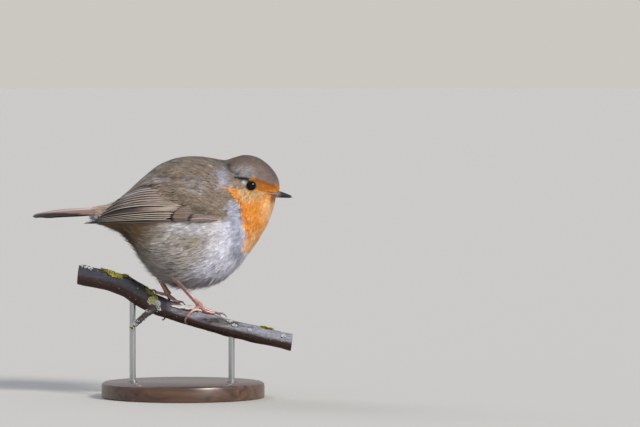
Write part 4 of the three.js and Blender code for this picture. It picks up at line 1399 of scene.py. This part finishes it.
class ROBIN_OT_bill(bpy.types.Operator):
    """Makes the two halves of the bill, with nostrils and the soft corners of the mouth"""

    bl_idname = "robin.bill"
    bl_label = "Bill"

    def execute(self, context):
        colours = context.scene.robin_head
        horn, tree, shader = material("Bill horn, smooth keratin", Roughness=0.27, Specular_IOR_Level=0.5)
        stains = grain(tree, 1.4, 4.0)
        place = node(tree, "ShaderNodeTexCoord").outputs["Object"]
        along = node(tree, "ShaderNodeSeparateXYZ", Vector=place).outputs["X"]
        base = ranged(tree, along, From_Min=51.0 * MM, From_Max=48.2 * MM)
        paler_share = node(tree, "ShaderNodeMath", {
            "operation": "SUBTRACT", "use_clamp": True, 0: summed(tree, stains, 0.35, base), 1: 0.2})
        tone = between(tree, colours.bill, colours.bill_edge, paler_share.outputs[0])
        tree.links.new(tone, shader.inputs["Base Color"])
        relief(tree, shader, stains, strength=0.2, depth=0.05)
        for name, upper in (("bill_upper", True), ("bill_lower", False)):
            bm = bmesh.new()

            def shape(out, angle):
                x = mix(44.2, 56.9 - (0 if upper else 0.8), out)
                closing = 105.1 - 1.75 * ((x - 44.2) / 12.7) ** 1.3 - 0.25 * ramp(out, 0.93, 1) * upper
                end = round_end(out, 0.955) * np.minimum(out / 0.03, 1)
                half = mix(2.9, 0.42, out**0.85) * end
                rise = (mix(2.55, 0.6, out**1.7) if upper else mix(1.65, 0.4, out**1.7)) * end
                over, across = np.cos(angle), np.sin(angle)
                up = np.where(over > 0, over, over * 0.04)
                ridge = 0.12 * np.exp(-((across / 0.18) ** 2)) * (over > 0) * end * upper
                nostril = -0.28 * np.exp(-((out - 0.38) / 0.045) ** 2 - ((over - 0.42) / 0.16) ** 2) * upper
                y = half * across * (1 + nostril)
                z = closing + (1 if upper else -1) * (rise * up + ridge + 0.02)
                return turned(np.stack([x, y, z], -1), 1.0)

            ball(bm, shape, rings=60, sides=32)
            from_bmesh(name, bm, [horn], stands_for=(name,), slot="bill_horn")
        soft, *_ = material("Gape, soft skin", Roughness=0.55, Subsurface_Weight=0.1, Subsurface_Scale=MM,
                            Base_Color=(*colours.gape, 1))

        def fold(t, a):
            return (0.12 + 0.38 * ramp(t, 0.1, 0.65)) * (1 - 0.7 * ramp(t, 0.7, 1))

        bm = bmesh.new()
        for side in SIDES.values():
            ball(bm, sweep(gape_line(side), fold, flat=0.42), rings=36, sides=12)
        from_bmesh("gape", bm, [soft], slot="face_feathers")
        return {"FINISHED"}


# ---------------------------------------------------------------- perch, by its centre line
BRANCH = np.array([
    (-54, 63.3, 5.0), (-40, 60.4, 5.0), (-29, 56.9, 5.3), (-22, 52.6, 5.4), (-16, 48.9, 5.0),
    (-4, 44.2, 4.6), (9.4, 39.9, 4.45), (23, 36.1, 4.4), (36, 33.0, 4.45), (56, 28.3, 4.3)])


def branch_sway(x):
    """How far the branch bows to the bird's left."""
    return 0.0008 * (x - 5) ** 2


BRANCH_LINE = spline(np.c_[BRANCH[:, 0], branch_sway(BRANCH[:, 0]), BRANCH[:, 1]], np.linspace(0, 1, 600))


def branch_centre(x):
    """Points on the branch's centre line at each x."""
    x = np.asarray(x, float)
    return np.stack([x, *(np.interp(x, BRANCH_LINE[:, 0], BRANCH_LINE[:, k]) for k in (1, 2))], -1)


def branch_radius(x):
    """The branch's radius at each x."""
    at = np.interp(x, BRANCH[:, 0], np.arange(len(BRANCH)))
    i = np.minimum(at.astype(int), len(BRANCH) - 2)
    return mix(BRANCH[i, 2], BRANCH[i + 1, 2], ramp(at - i, 0, 1))


def by_branch(x, degrees, height):
    """Points near the branch: along X, degrees from its top over its right side, and height off the bark."""
    x, angle = np.asarray(x, float), np.radians(degrees)
    ahead = unit(branch_centre(x + 0.5) - branch_centre(x - 0.5))
    up = unit(np.array((0, 0, 1.0)) - ahead * ahead[..., 2:])
    right = np.cross(ahead, up)
    radius = (branch_radius(x) + height)[..., None]
    off = up * np.cos(angle)[..., None] + right * np.sin(angle)[..., None]
    return branch_centre(x) + radius * off


# Where the broken twig starts, and how far and which way it goes.
TWIG_CROOK = by_branch(-15.0, 126, 2.2)
TWIG_REACH = np.array((-9.5, -3.2, -8.2))


# ---------------------------------------------------------------- legs
SOLE = 2.3  # height of the middle of a foot over the bark
# Each digit: how far along the branch, degrees round it and height, for its pads and then its claw.
# A shank is clear of feathers up to the length that shows.
FEET = {
    "right": {
        "x": 7.1, "degrees": 4, "heel": (-4.6, -15.5, 63.0), "shows": 22.5,
        "hind": (((0, 2, 2.0), (-2.0, 30, 1.7), (-3.8, 62, 1.4), (-4.8, 86, 1.25)),
                 ((-4.8, 84, 1.4), (-5.2, 104, 1.9), (-4.3, 124, 1.5), (-2.4, 144, 0.5))),
        "middle": (((0, 0, 2.1), (3.3, -2, 1.7), (6.9, -6, 1.3), (9.9, -8, 1.25)),
                   ((9.7, -8, 1.4), (11.7, -8.5, 1.9), (13.3, -10, 1.3), (14.5, -12, 0.4))),
        "outer": (((0, 8, 2.0), (2.8, 22, 1.5), (5.4, 20, 1.3), (7.6, 14, 1.25)),
                  ((7.4, 14, 1.3), (9.2, 15, 1.8), (10.5, 17, 1.2), (11.6, 19, 0.35))),
        "inner": (((0, -8, 2.0), (1.8, -34, 1.4), (3.6, -66, 1.25), (4.6, -98, 1.25)),
                  ((4.6, -98, 1.3), (5.1, -120, 1.7), (5.1, -136, 1.2), (4.6, -150, 0.4))),
    },
    "left": {
        "x": -10.0, "degrees": -4, "heel": (-17.2, 8.0, 70.0), "shows": 11.0,
        "hind": (((0, -2, 2.0), (-2.6, 8, 1.6), (-5.0, 18, 1.3), (-6.6, 24, 1.25)),
                 ((-6.5, 24, 1.3), (-8.1, 27, 1.8), (-9.2, 33, 1.3), (-9.9, 42, 0.4))),
        "middle": (((0, 0, 2.1), (3, -16, 1.6), (6, -38, 1.3), (8.4, -62, 1.25)),
                   ((8.3, -60, 1.3), (9.5, -78, 1.7), (10.1, -94, 1.2), (10.3, -108, 0.4))),
        "outer": (((0, -10, 2.0), (1.2, -44, 1.4), (2.2, -84, 1.25), (2.4, -124, 1.25)),
                  ((2.4, -122, 1.3), (2.0, -148, 1.8), (1.5, -168, 1.6), (1.0, -184, 0.8))),
        "inner": (((0, 8, 2.0), (2.2, 22, 1.5), (4.4, 26, 1.3), (6.2, 20, 1.25)),
                  ((6.1, 20, 1.3), (7.7, 20, 1.7), (8.9, 22, 1.2), (9.8, 25, 0.4))),
    },
}
# Radius at the root, joints, and radius of the claw.
DIGITS = {
    "hind": (0.84, 2, 0.66), "middle": (0.78, 4, 0.54), "outer": (0.72, 4, 0.54), "inner": (0.72, 3, 0.54)}


class LegColours(bpy.types.PropertyGroup):
    skin: colour("Leg skin", "Pinkish brown scutes", "ab7972")
    # Painted highlight down the front of the shank, over its paler front plates.
    front: colour("Shank front", "Pale polished plates down the front of the shank", "ecd6d2")
    # Creases: red-brown seams between the scutes, deepened as painted shade.
    crease: colour("Creases", "Darker red-brown between the scutes", "66322a")
    claw: colour("Claws", "Brown-grey horn", "6f5c58")
    claw_tip: colour("Claw tips", "Dark horn at the points", "2a2322")


def leg_material(colours):
    """Leg skin: thin horny scutes over pink flesh, slightly waxy, so light bleeds in a little, with a
    painted highlight down the front of the shank.
    """
    made, tree, shader = material(
        "Leg skin, horny scutes", Roughness=0.34, Specular_IOR_Level=0.7, Coat_Weight=0.5,
        Coat_Roughness=0.22, Subsurface_Weight=0.15, Subsurface_Scale=0.6 * MM)
    stains = grain(tree, 0.9, 4.0)
    share = summed(tree, stains, 0.5, attribute(tree, "crease"), use_clamp=True)
    tone = between(tree, colours.crease, colours.skin, share)
    tree.links.new(between(tree, tone, colours.front, attribute(tree, "front")), shader.inputs["Base Color"])
    relief(tree, shader, stains, strength=0.25, depth=0.06)
    return made


def saw(t):
    """Overlapping plates: a slow rise and a quick fall, 0 to 1, for each unit of t."""
    f = t % 1
    return np.where(f < 0.85, f / 0.85, (1 - f) / 0.15)


class ROBIN_OT_legs(bpy.types.Operator):
    """Makes both legs: shanks with scutes, jointed toes and curved claws"""

    bl_idname = "robin.legs"
    bl_label = "Legs"

    def execute(self, context):
        colours = context.scene.robin_legs
        skin = leg_material(colours)
        horn, tree, shader = material("Claw horn", Roughness=0.35, Specular_IOR_Level=0.5)
        tone = between(tree, colours.claw, colours.claw_tip, attribute(tree, "crease"))
        tree.links.new(tone, shader.inputs["Base Color"])
        for name, foot in FEET.items():
            sole = by_branch(foot["x"], foot["degrees"], SOLE)
            heel = np.array(foot["heel"])
            knee = heel + (-2.5, -0.35 * heel[1], 3.5)

            def shank(t, a):
                plates = 0.035 * saw(t * 9) * np.clip(np.cos(a - 0.3) + 0.5, 0, 1)
                ankle = 0.28 * np.exp(-((t - 0.97) / 0.05) ** 2)
                return (mix(1.45, 1.2, np.sin(math.pi * np.minimum(t, 0.96)) ** 0.7) + ankle) * (1 + plates)

            path = [knee, heel, mix(heel, sole, 0.5), sole]
            self.bar(f"tarsus_{name}", path, shank, skin, "leg_skin", 110, 20, plates=9,
                     flat=0.85, upright=(1, 0, 0.2))
            for digit, (radius, joints, hook_radius) in DIGITS.items():
                path, hook = ([by_branch(foot["x"] + dx, foot["degrees"] + d, h) for dx, d, h in line]
                              for line in foot[digit])

                def pads(t, a, radius=radius, joints=joints):
                    swell = 0.09 * np.cos(TAU * joints * t) * np.clip(0.5 - np.cos(a), 0, 1.5)
                    plates = 0.05 * saw(t * joints * 4) * np.clip(np.cos(a) + 0.3, 0, 1)
                    return radius * (1.05 - 0.24 * t + swell + plates)

                def point(t, a, size=hook_radius):
                    return size * (1 - t) ** 0.8 + 0.05

                self.bar(f"toe_{name}_{digit}", path, pads, skin, "leg_skin", 72, 16, plates=joints * 4)
                self.bar(f"claw_{name}_{digit}", hook, point, horn, "claw_horn", 40, 14, tip=True)
        return {"FINISHED"}

    def bar(self, name, path, radius, surface, slot, rings, sides, plates=0, tip=False, **shape):
        """One closed bar in place of its node, marked for its creases, dark tip or painted highlight down
        its front.
        """
        bm = bmesh.new()
        layer, front = (bm.verts.layers.float.new(v) for v in ("crease", "front"))
        made = ball(bm, sweep(path, radius, **shape), rings, sides)
        co = np.array([v.co for v in made])
        start, end = np.array(path[0]), np.array(path[-1])
        share = np.clip((co - start) @ (end - start) / ((end - start) @ (end - start)), 0, 1)
        # Darker in the creases between the scutes: red-brown seams, deepened as painted shade.
        value = 0.25 + 0.6 * ramp(saw(share * plates), 0.0, 0.35)
        if tip:
            value = ramp(share, 0.35, 0.95)
        paler_share = np.zeros(len(made))
        if "upright" in shape:
            line = spline(path, np.linspace(0, 1, 80))
            off = unit(co - line[np.linalg.norm(co[:, None] - line, axis=-1).argmin(1)])
            axis, ahead = unit(end - start), np.array((1.0, 0.35 * np.sign(start[1]), 0))
            facing = off @ unit(ahead - axis * (ahead @ axis))
            # Painted highlight down the front of the shank, over its paler front plates.
            paler_share = 0.85 * ramp(facing, 0.5, 0.95) * ramp(0.9 - share, 0, 0.25)
        for vert, v, w in zip(made, value, paler_share):
            vert[layer], vert[front] = v, w
        from_bmesh(name, bm, [surface], stands_for=(name,), slot=slot)


# ---------------------------------------------------------------- perch and stand
class PerchColours(bpy.types.PropertyGroup):
    bark: colour("Bark", "Grey hazel bark", "80808a")
    # Painted shadow of the bird: dark blue-grey over the thick end.
    bark_in_bird_shade: colour("Old bark", "Dark blue-grey bark of the thick end", "28272f")
    bark_brown: colour("Brown bark", "Red-brown young bark under the grey skin", "3b302d")
    # Red-brown stain underneath, darkened as painted shade.
    bark_under_stain_and_shade: colour("Under side", "Red-brown stained bark underneath", "35231c")
    bark_pale: colour("Pale bark", "Pale flaking skin and lenticels", "a8a59f")
    flake: colour("Flake", "Whitish skin of the lifted strip", "cfc8c2")
    wood: colour("Cut wood", "Cream wood of the sawn ends", "cbb08a")
    ring: colour("Growth rings", "Darker late wood", "a07c54")
    yellow: colour("Yellow lichen", "Leafy yellow-green lichen", "a09b3e")
    white: colour("Grey lichen", "Grey-white rosette lichen", "b7bab8")


class StandColours(bpy.types.PropertyGroup):
    wood: colour("Base wood", "Oiled walnut", "5b3f2c")
    wood_dark: colour("Base grain", "Dark grain of the walnut", "35231a")
    steel: colour("Rods", "Brushed stainless steel", "b9bbbd")


def bark_material(colours):
    """Hazel bark: smooth grey skin that thins to red-brown, with pale lenticels and fine cracks."""
    made, tree, shader = material("Hazel bark", Roughness=0.7, Specular_IOR_Level=0.35)
    place = node(tree, "ShaderNodeTexCoord").outputs["Object"]
    broad = grain(tree, 7, 5.0, (0.35, 1.0, 1.0), Roughness=0.6)
    fine = grain(tree, 0.8, 6.0, (0.35, 1.0, 1.0), Roughness=0.65)
    spots = node(tree, "ShaderNodeTexVoronoi", {"Scale": 1 / (3.4 * MM), "Randomness": 1.0}, Vector=place)
    along = node(tree, "ShaderNodeSeparateXYZ", Vector=place).outputs["X"]
    # Grey skin worn through to brown, a painted shadow of the bird over the thick end, red-brown stain with
    # painted shade underneath, then lenticels.
    tone = between(tree, colours.bark, colours.bark_brown, ranged(tree, broad, From_Min=0.52, From_Max=0.68))
    # Painted shadow of the bird over the thick end.
    old = ranged(tree, along, From_Min=-2 * MM, From_Max=-9 * MM, To_Max=0.92)
    tone = between(tree, tone, colours.bark_in_bird_shade, old)
    # Red-brown stain, with painted shade, on the under side.
    stain_and_shade = summed(tree, broad, 0.9, attribute(tree, "upside"))
    tone = between(tree, colours.bark_under_stain_and_shade, tone, ranged(tree, stain_and_shade, From_Min=0.24, From_Max=0.56))
    dots = ranged(tree, spots.outputs["Distance"], From_Min=0.11, From_Max=0.05, To_Max=0.7)
    tone = between(tree, tone, colours.bark_pale, dots)
    shade = ranged(tree, fine, From_Min=0.3, From_Max=0.7, To_Min=0.5, To_Max=1.45)
    tree.links.new(scaled(tree, tone, shade), shader.inputs["Base Color"])
    relief(tree, shader, summed(tree, broad, 1.5, fine), strength=0.9, depth=0.4)
    return made


RINGS = 5  # years of growth in the sawn ends
# Knots: x, degrees round the branch and height.
KNOTS = ((-15, 122, 1.6), (-22, 20, 0.6), (-29, -60, 0.8), (22, -150, 0.6), (38, 60, 0.5))
# Lichen rosettes: x, degrees round the branch, reach along it, reach round it, lobes.
YELLOW_LICHEN = (
    (-40, 6, 3.2, 22, 120), (-36, 34, 3.4, 16, 70), (-31, 16, 2.0, 14, 30), (-20, 30, 3.0, 18, 70),
    (-16, 66, 2.0, 22, 50), (42, 12, 3.4, 12, 80), (2, 18, 0.8, 6, 8), (6.4, 30, 0.6, 5, 6))
GREY_LICHEN = (
    (-51.5, 0, 2.4, 34, 90), (-48, 30, 1.4, 16, 22), (-15, 80, 3.0, 24, 110), (-13, 104, 2.2, 22, 80),
    (23, 40, 1.4, 10, 26), (26, 62, 1.0, 9, 16), (51, 58, 0.9, 8, 12), (0, 16, 0.8, 8, 10),
    (34, 70, 0.8, 6, 10))


class ROBIN_OT_perch(bpy.types.Operator):
    """Makes the cut length of branch with its twig, flaking bark and lichens"""

    bl_idname = "robin.perch"
    bl_label = "Perch"

    def execute(self, context):
        colours = context.scene.robin_perch
        bark = bark_material(colours)
        bm = bmesh.new()

        def log(along, angle):
            inner = np.clip((along - 0.03) / 0.94, 0, 1)
            end = np.clip(np.minimum(along, 1 - along) / 0.03, 0, 1)
            x, degrees = mix(-54.0, 56.0, inner), np.degrees(angle)
            base, centre = by_branch(x, degrees, 0 * x), branch_centre(x)
            bump = np.array([noise.fractal(Vector(p) * 0.09, 1.0, 2.0, 4) for p in base])
            knots = sum(h * np.exp(-((x - at) / 2.6) ** 2 - ((degrees - d + 180) % 360 - 180) ** 2 / 900)
                        for at, d, h in KNOTS)
            grown = base + unit(base - centre) * (0.32 * bump + knots)[:, None]
            rounded = np.where(end > 0.86, 1 - 0.06 * (1 - (end - 0.86) / 0.14) ** 2, end / 0.86 * 0.94)
            return centre + (grown - centre) * rounded[:, None]

        ball(bm, log, rings=330, sides=72)
        surfaces = [bark, self.sawn(colours)]
        piece = from_bmesh("perch_branch", bm, surfaces, stands_for=("perch_branch",), slot="bark")
        co = np.array([v.co for v in piece.data.vertices]) / MM
        off, radius = co - branch_centre(co[:, 0]), branch_radius(co[:, 0])
        for name, value in (("ring", np.linalg.norm(off, axis=1) / radius), ("upside", off[:, 2] / radius)):
            fill(piece.data.attributes.new(name, "FLOAT", "POINT").data, "value", value)
        for face in piece.data.polygons:
            face.material_index = int(abs(face.normal.x) > 0.86)
        bm = bmesh.new()
        stub = [by_branch(-13.0, 122, -3), TWIG_CROOK, TWIG_CROOK + TWIG_REACH]

        def rough(t, a):
            return 2.0 - 0.85 * t + 0.12 * np.sin(9 * t + a) * np.sin(3 * a)

        ball(bm, sweep(stub, rough, blunt=0.02), rings=90, sides=28)
        from_bmesh("perch_twig", bm, [bark], stands_for=("perch_twig",), slot="bark")
        self.flake(colours)
        self.lichens(colours)
        return {"FINISHED"}

    def sawn(self, colours):
        """Sawn ends: cream wood with fine darker growth rings."""
        made, tree, shader = material("Hazel end grain, sawn", Roughness=0.75)
        waver = grain(tree, 1.2, 3.0)
        wave = waves(tree, summed(tree, waver, 0.08, attribute(tree, "ring")), TAU * RINGS)
        tone = between(tree, colours.wood, colours.ring, ranged(tree, wave, From_Min=-1.0))
        tree.links.new(tone, shader.inputs["Base Color"])
        relief(tree, shader, waver, strength=0.3, depth=0.1)
        return made

    def flake(self, colours):
        """The lifted strip of old bark on top, by the feet."""
        pale, tree, shader = material("Old bark, dry and flaking", Roughness=0.8)
        fibres = grain(tree, 1.1, 5.0, (0.3, 1.0, 1.0))
        tree.links.new(between(tree, colours.bark_pale, colours.flake, fibres), shader.inputs["Base Color"])
        relief(tree, shader, fibres, strength=0.5, depth=0.2)
        bm = bmesh.new()

        def strip(along, angle):
            x = mix(-7.2, 6.8, along)
            near = (-7, -4, 1, 5, 7)
            wide = np.clip(np.sin(math.pi * along) * 3.0, 0, 1) ** 0.6
            ragged = 1 + 0.10 * np.sin(23 * along) + 0.08 * np.sin(57 * along + angle)
            degrees = (np.interp(x, near, (58, 51, 34, 29, 27))
                       + np.sin(angle) * wide * ragged * np.interp(x, near, (7, 12, 20, 21, 19)))
            lift = np.interp(x, near, (0.1, 0.5, 1.3, 1.9, 1.5))
            lift = lift + 0.25 * np.sin(angle) + 0.12 * np.sin(19 * along)
            thick = (0.3 + 0.08 * np.sin(4 * angle + 20 * along)) * wide
            return by_branch(x, degrees, lift + thick * np.cos(angle))

        ball(bm, strip, rings=110, sides=28)
        from_bmesh("bark_flake", bm, [pale], slot="bark")

    def lichens(self, colours):
        """Lichens: many small cupped lobes, crowded in rosettes on the bark and strewn along the twig."""
        rng = np.random.default_rng(21)
        for name, (label, tone, size, on_twig, spots) in {
            "lichen_yellow": ("Leafy yellow lichen, dry", colours.yellow, 0.75, 26, YELLOW_LICHEN),
            "lichen_grey": ("Grey rosette lichen, dry", colours.white, 0.55, 230, GREY_LICHEN),
        }.items():
            points, faces = [], []
            for x, degrees, spread, swing, count in spots:
                for _ in range(count):
                    turn, r = rng.uniform(0, TAU), rng.uniform(0, 1) ** 0.6
                    place = x + spread * r * math.cos(turn), degrees + swing * r * math.sin(turn)
                    base = by_branch(*place, 0.15)
                    out = unit(base - by_branch(*place, -3.0))
                    self.lobe(rng, points, faces, base, out, size * rng.uniform(0.5, 1.25), turn)
            for _ in range(on_twig):
                share = rng.uniform(0.05, 0.98)
                spoke = unit(rng.normal(0, 1, 3) + np.array((0, -0.9, 0.6)))
                base = TWIG_CROOK + TWIG_REACH * share + spoke * (1.9 - 0.7 * share)
                self.lobe(rng, points, faces, base, spoke, size * rng.uniform(0.4, 0.9), rng.uniform(0, TAU))
            surface, tree, shader = material(label, Roughness=0.85)
            shade = ranged(tree, grain(tree, 0.7, 4.0), From_Min=0.3, From_Max=0.7, To_Min=0.62, To_Max=1.2)
            tree.links.new(scaled(tree, tuple(tone), shade), shader.inputs["Base Color"])
            from_arrays(name, np.array(points), np.array(faces), [surface], slot="bark")

    def lobe(self, rng, points, faces, base, out, size, turn):
        """One ruffled lobe: a small disc that cups up from its middle to a wavy rim."""
        sides = 9
        ahead = unit(np.cross(out, rng.normal(0, 1, 3)))
        across = np.cross(out, ahead)
        tilt = rng.normal(0, 0.25, 2)
        first = len(points)
        points.append(base)
        for ring, lift in ((0.55, 0.10), (1.0, 0.34)):
            for k in range(sides):
                a = TAU * k / sides
                r = size * ring * (1 + 0.28 * math.sin(3 * a + turn) * ring + rng.uniform(-0.12, 0.12))
                x, y = r * math.cos(a), r * math.sin(a)
                height = size * (lift + 0.12 * math.sin(5 * a + turn) * ring) + tilt[0] * x + tilt[1] * y
                points.append(base + ahead * x + across * y + out * height)
        for k in range(sides):
            n = (k + 1) % sides
            faces.append((first, first + 1 + k, first + 1 + n))
            a, b = first + 1 + k, first + 1 + n
            faces += [(a, a + sides, b + sides), (a, b + sides, b)]


BASE_PROFILE = ((0, 0), (41.5, 0), (42, 0.5), (42, 6.6), (41.6, 7.5), (40.7, 8.0), (0, 8.0))
ROD_PLACES = (-26.0, 25.0)
ROD_RADIUS, ROD_FOOT, ROD_BITE = 1.6, 2.0, 1.8
COLLAR = (2.5, 0.8, 8.4)  # radius, thickness, height of its middle


class ROBIN_OT_stand(bpy.types.Operator):
    """Makes the display stand: a turned wooden base and two steel rods"""

    bl_idname = "robin.stand"
    bl_label = "Stand"

    def execute(self, context):
        colours = context.scene.robin_stand
        wood, tree, shader = material(
            "Walnut, turned and oiled", Roughness=0.38, Coat_Weight=0.25, Coat_Roughness=0.25)
        fibres = grain(tree, 4, 6.0, (0.12, 1.0, 1.0), Distortion=0.6)
        share = ranged(tree, fibres, From_Min=0.35, From_Max=0.65)
        tree.links.new(between(tree, colours.wood_dark, colours.wood, share), shader.inputs["Base Color"])
        relief(tree, shader, fibres, strength=0.15, depth=0.1)
        bm = bmesh.new()
        verts = [bm.verts.new((r, 0, z)) for r, z in BASE_PROFILE]
        edges = [bm.edges.new(pair) for pair in zip(verts[:-1], verts[1:])]
        bmesh.ops.spin(
            bm, geom=verts + edges, axis=(0, 0, 1), cent=(0, 0, 0), steps=160, angle=TAU, use_merge=True)
        bmesh.ops.remove_doubles(bm, verts=bm.verts, dist=1e-4)
        self.turned_piece("stand_base", bm, wood, "base_wood")
        steel, tree, shader = material(
            "Stainless steel, brushed", Metallic=1.0, Roughness=0.3, Base_Color=(*colours.steel, 1))
        rough = ranged(tree, grain(tree, 0.3, 3.0, (1.0, 1.0, 0.05)), To_Min=0.22, To_Max=0.42)
        tree.links.new(rough, shader.inputs["Roughness"])
        for k, x in enumerate(ROD_PLACES):
            low, high = ROD_FOOT, branch_centre(x)[2] - branch_radius(x) + ROD_BITE
            bm = bmesh.new()
            for radius, depth, middle in ((ROD_RADIUS, high - low, (low + high) / 2), COLLAR):
                rod = bmesh.ops.create_cone(
                    bm, cap_ends=True, segments=40, radius1=radius, radius2=radius, depth=depth)
                bmesh.ops.translate(bm, verts=rod["verts"], vec=(x, branch_sway(x), middle))
            self.turned_piece(f"stand_rod_{k + 1}", bm, steel, "rod_steel")
        return {"FINISHED"}

    def turned_piece(self, name, bm, surface, slot):
        """A turned part of the stand, with sharp edges."""
        made = from_bmesh(name, bm, [surface], stands_for=(name,), slot=slot)
        made.data.set_sharp_from_angle(angle=math.radians(35))


# ---------------------------------------------------------------- stage
FLOOR_RADIUS = 14.0
LAMPS = (  # name, way to the lamp, strength, spread in degrees, colour
    ("key", (0.55, -0.64, 0.55), 3.4, 15, "fffaf4"), ("back", (-0.55, 0.6, 0.6), 0.9, 30, "f2f5ff"))
CAMERA_TILT = math.radians(2)
CAMERA_AIM, CAMERA_DISTANCE, CAMERA_LENS = (0.0706, 0, 0.0949), 2.747, 300


class ROBIN_OT_stage(bpy.types.Operator):
    """Lays the floor, sets the soft lights and places the camera"""

    bl_idname = "robin.stage"
    bl_label = "Stage"

    def execute(self, context):
        bm = bmesh.new()
        bmesh.ops.create_circle(bm, cap_ends=True, segments=128, radius=FLOOR_RADIUS)
        mesh = bpy.data.meshes.new("floor")
        bm.to_mesh(mesh)
        bm.free()
        floor = bpy.data.objects.new("floor", mesh)
        context.scene.collection.objects.link(floor)
        surface, *_ = material(
            "Pale studio floor", Roughness=0.9, Specular_IOR_Level=0.1, Base_Color=(*linear("b6b3ad"), 1))
        mesh.materials.append(surface)
        world = bpy.data.worlds.new("Pale studio")
        context.scene.world = world
        world.use_nodes = True
        tree = world.node_tree
        sky = node(tree, "ShaderNodeTexCoord").outputs["Generated"]
        height = node(tree, "ShaderNodeSeparateXYZ", Vector=sky).outputs["Z"]
        high = ranged(tree, height, From_Min=0.05, From_Max=0.5)
        tone = between(tree, linear("cbc8c2"), linear("c0c8d6"), high)
        tree.links.new(tone, tree.nodes["Background"].inputs["Color"])
        for name, to_lamp, strength, spread, tint in LAMPS:
            lamp = bpy.data.lights.new(name, "SUN")
            lamp.energy, lamp.angle, lamp.color = strength, math.radians(spread), linear(tint)
            holder = bpy.data.objects.new(name, lamp)
            holder.rotation_mode = "QUATERNION"
            holder.rotation_quaternion = Vector(to_lamp).to_track_quat("Z", "Y")
            context.scene.collection.objects.link(holder)
        camera = bpy.data.objects.new("camera", bpy.data.cameras.new("camera"))
        camera.data.lens, camera.data.sensor_width, camera.data.clip_end = CAMERA_LENS, 36, 100
        back = Vector((0, -math.cos(CAMERA_TILT), math.sin(CAMERA_TILT)))
        camera.location = Vector(CAMERA_AIM) + back * CAMERA_DISTANCE
        camera.rotation_mode = "QUATERNION"
        camera.rotation_quaternion = back.to_track_quat("Z", "Y")
        context.scene.collection.objects.link(camera)
        context.scene.camera = camera
        context.scene.view_settings.view_transform = "Standard"
        return {"FINISHED"}


class ROBIN_PT_panel(bpy.types.Panel):
    """Lists the steps that build the robin"""

    bl_idname = "ROBIN_PT_panel"
    bl_label = "Robin"
    bl_space_type = "VIEW_3D"
    bl_region_type = "UI"
    bl_category = "Robin"

    def draw(self, context):
        for operator in OPERATORS:
            self.layout.operator(operator.bl_idname)
        for group in (getattr(context.scene, name) for name in SETTINGS):
            box = self.layout.box()
            for key in setting_names(group):
                box.prop(group, key)


OPERATORS = (
    ROBIN_OT_skin, ROBIN_OT_coat, ROBIN_OT_wings, ROBIN_OT_tail, ROBIN_OT_eyes, ROBIN_OT_bill, ROBIN_OT_legs,
    ROBIN_OT_perch, ROBIN_OT_stand, ROBIN_OT_stage)
SETTINGS = {
    "robin_plumage": PlumageColours, "robin_coat": CoatSizes, "robin_wing": WingColours,
    "robin_head": HeadColours, "robin_legs": LegColours, "robin_perch": PerchColours,
    "robin_stand": StandColours}


def register():
    """Adds the classes, and each group of settings to the scene."""
    for cls in (*SETTINGS.values(), *OPERATORS, ROBIN_PT_panel):
        bpy.utils.register_class(cls)
    for name, group in SETTINGS.items():
        setattr(bpy.types.Scene, name, PointerProperty(type=group))


def unregister():
    """Takes the settings and the classes away again."""
    for name in SETTINGS:
        delattr(bpy.types.Scene, name)
    for cls in (ROBIN_PT_panel, *reversed(OPERATORS), *reversed(SETTINGS.values())):
        bpy.utils.unregister_class(cls)


def main():
    """Builds every piece in turn."""
    register()
    for operator in OPERATORS:
        area, name = operator.bl_idname.split(".")
        getattr(getattr(bpy.ops, area), name)()


if __name__ == "__main__":
    main()
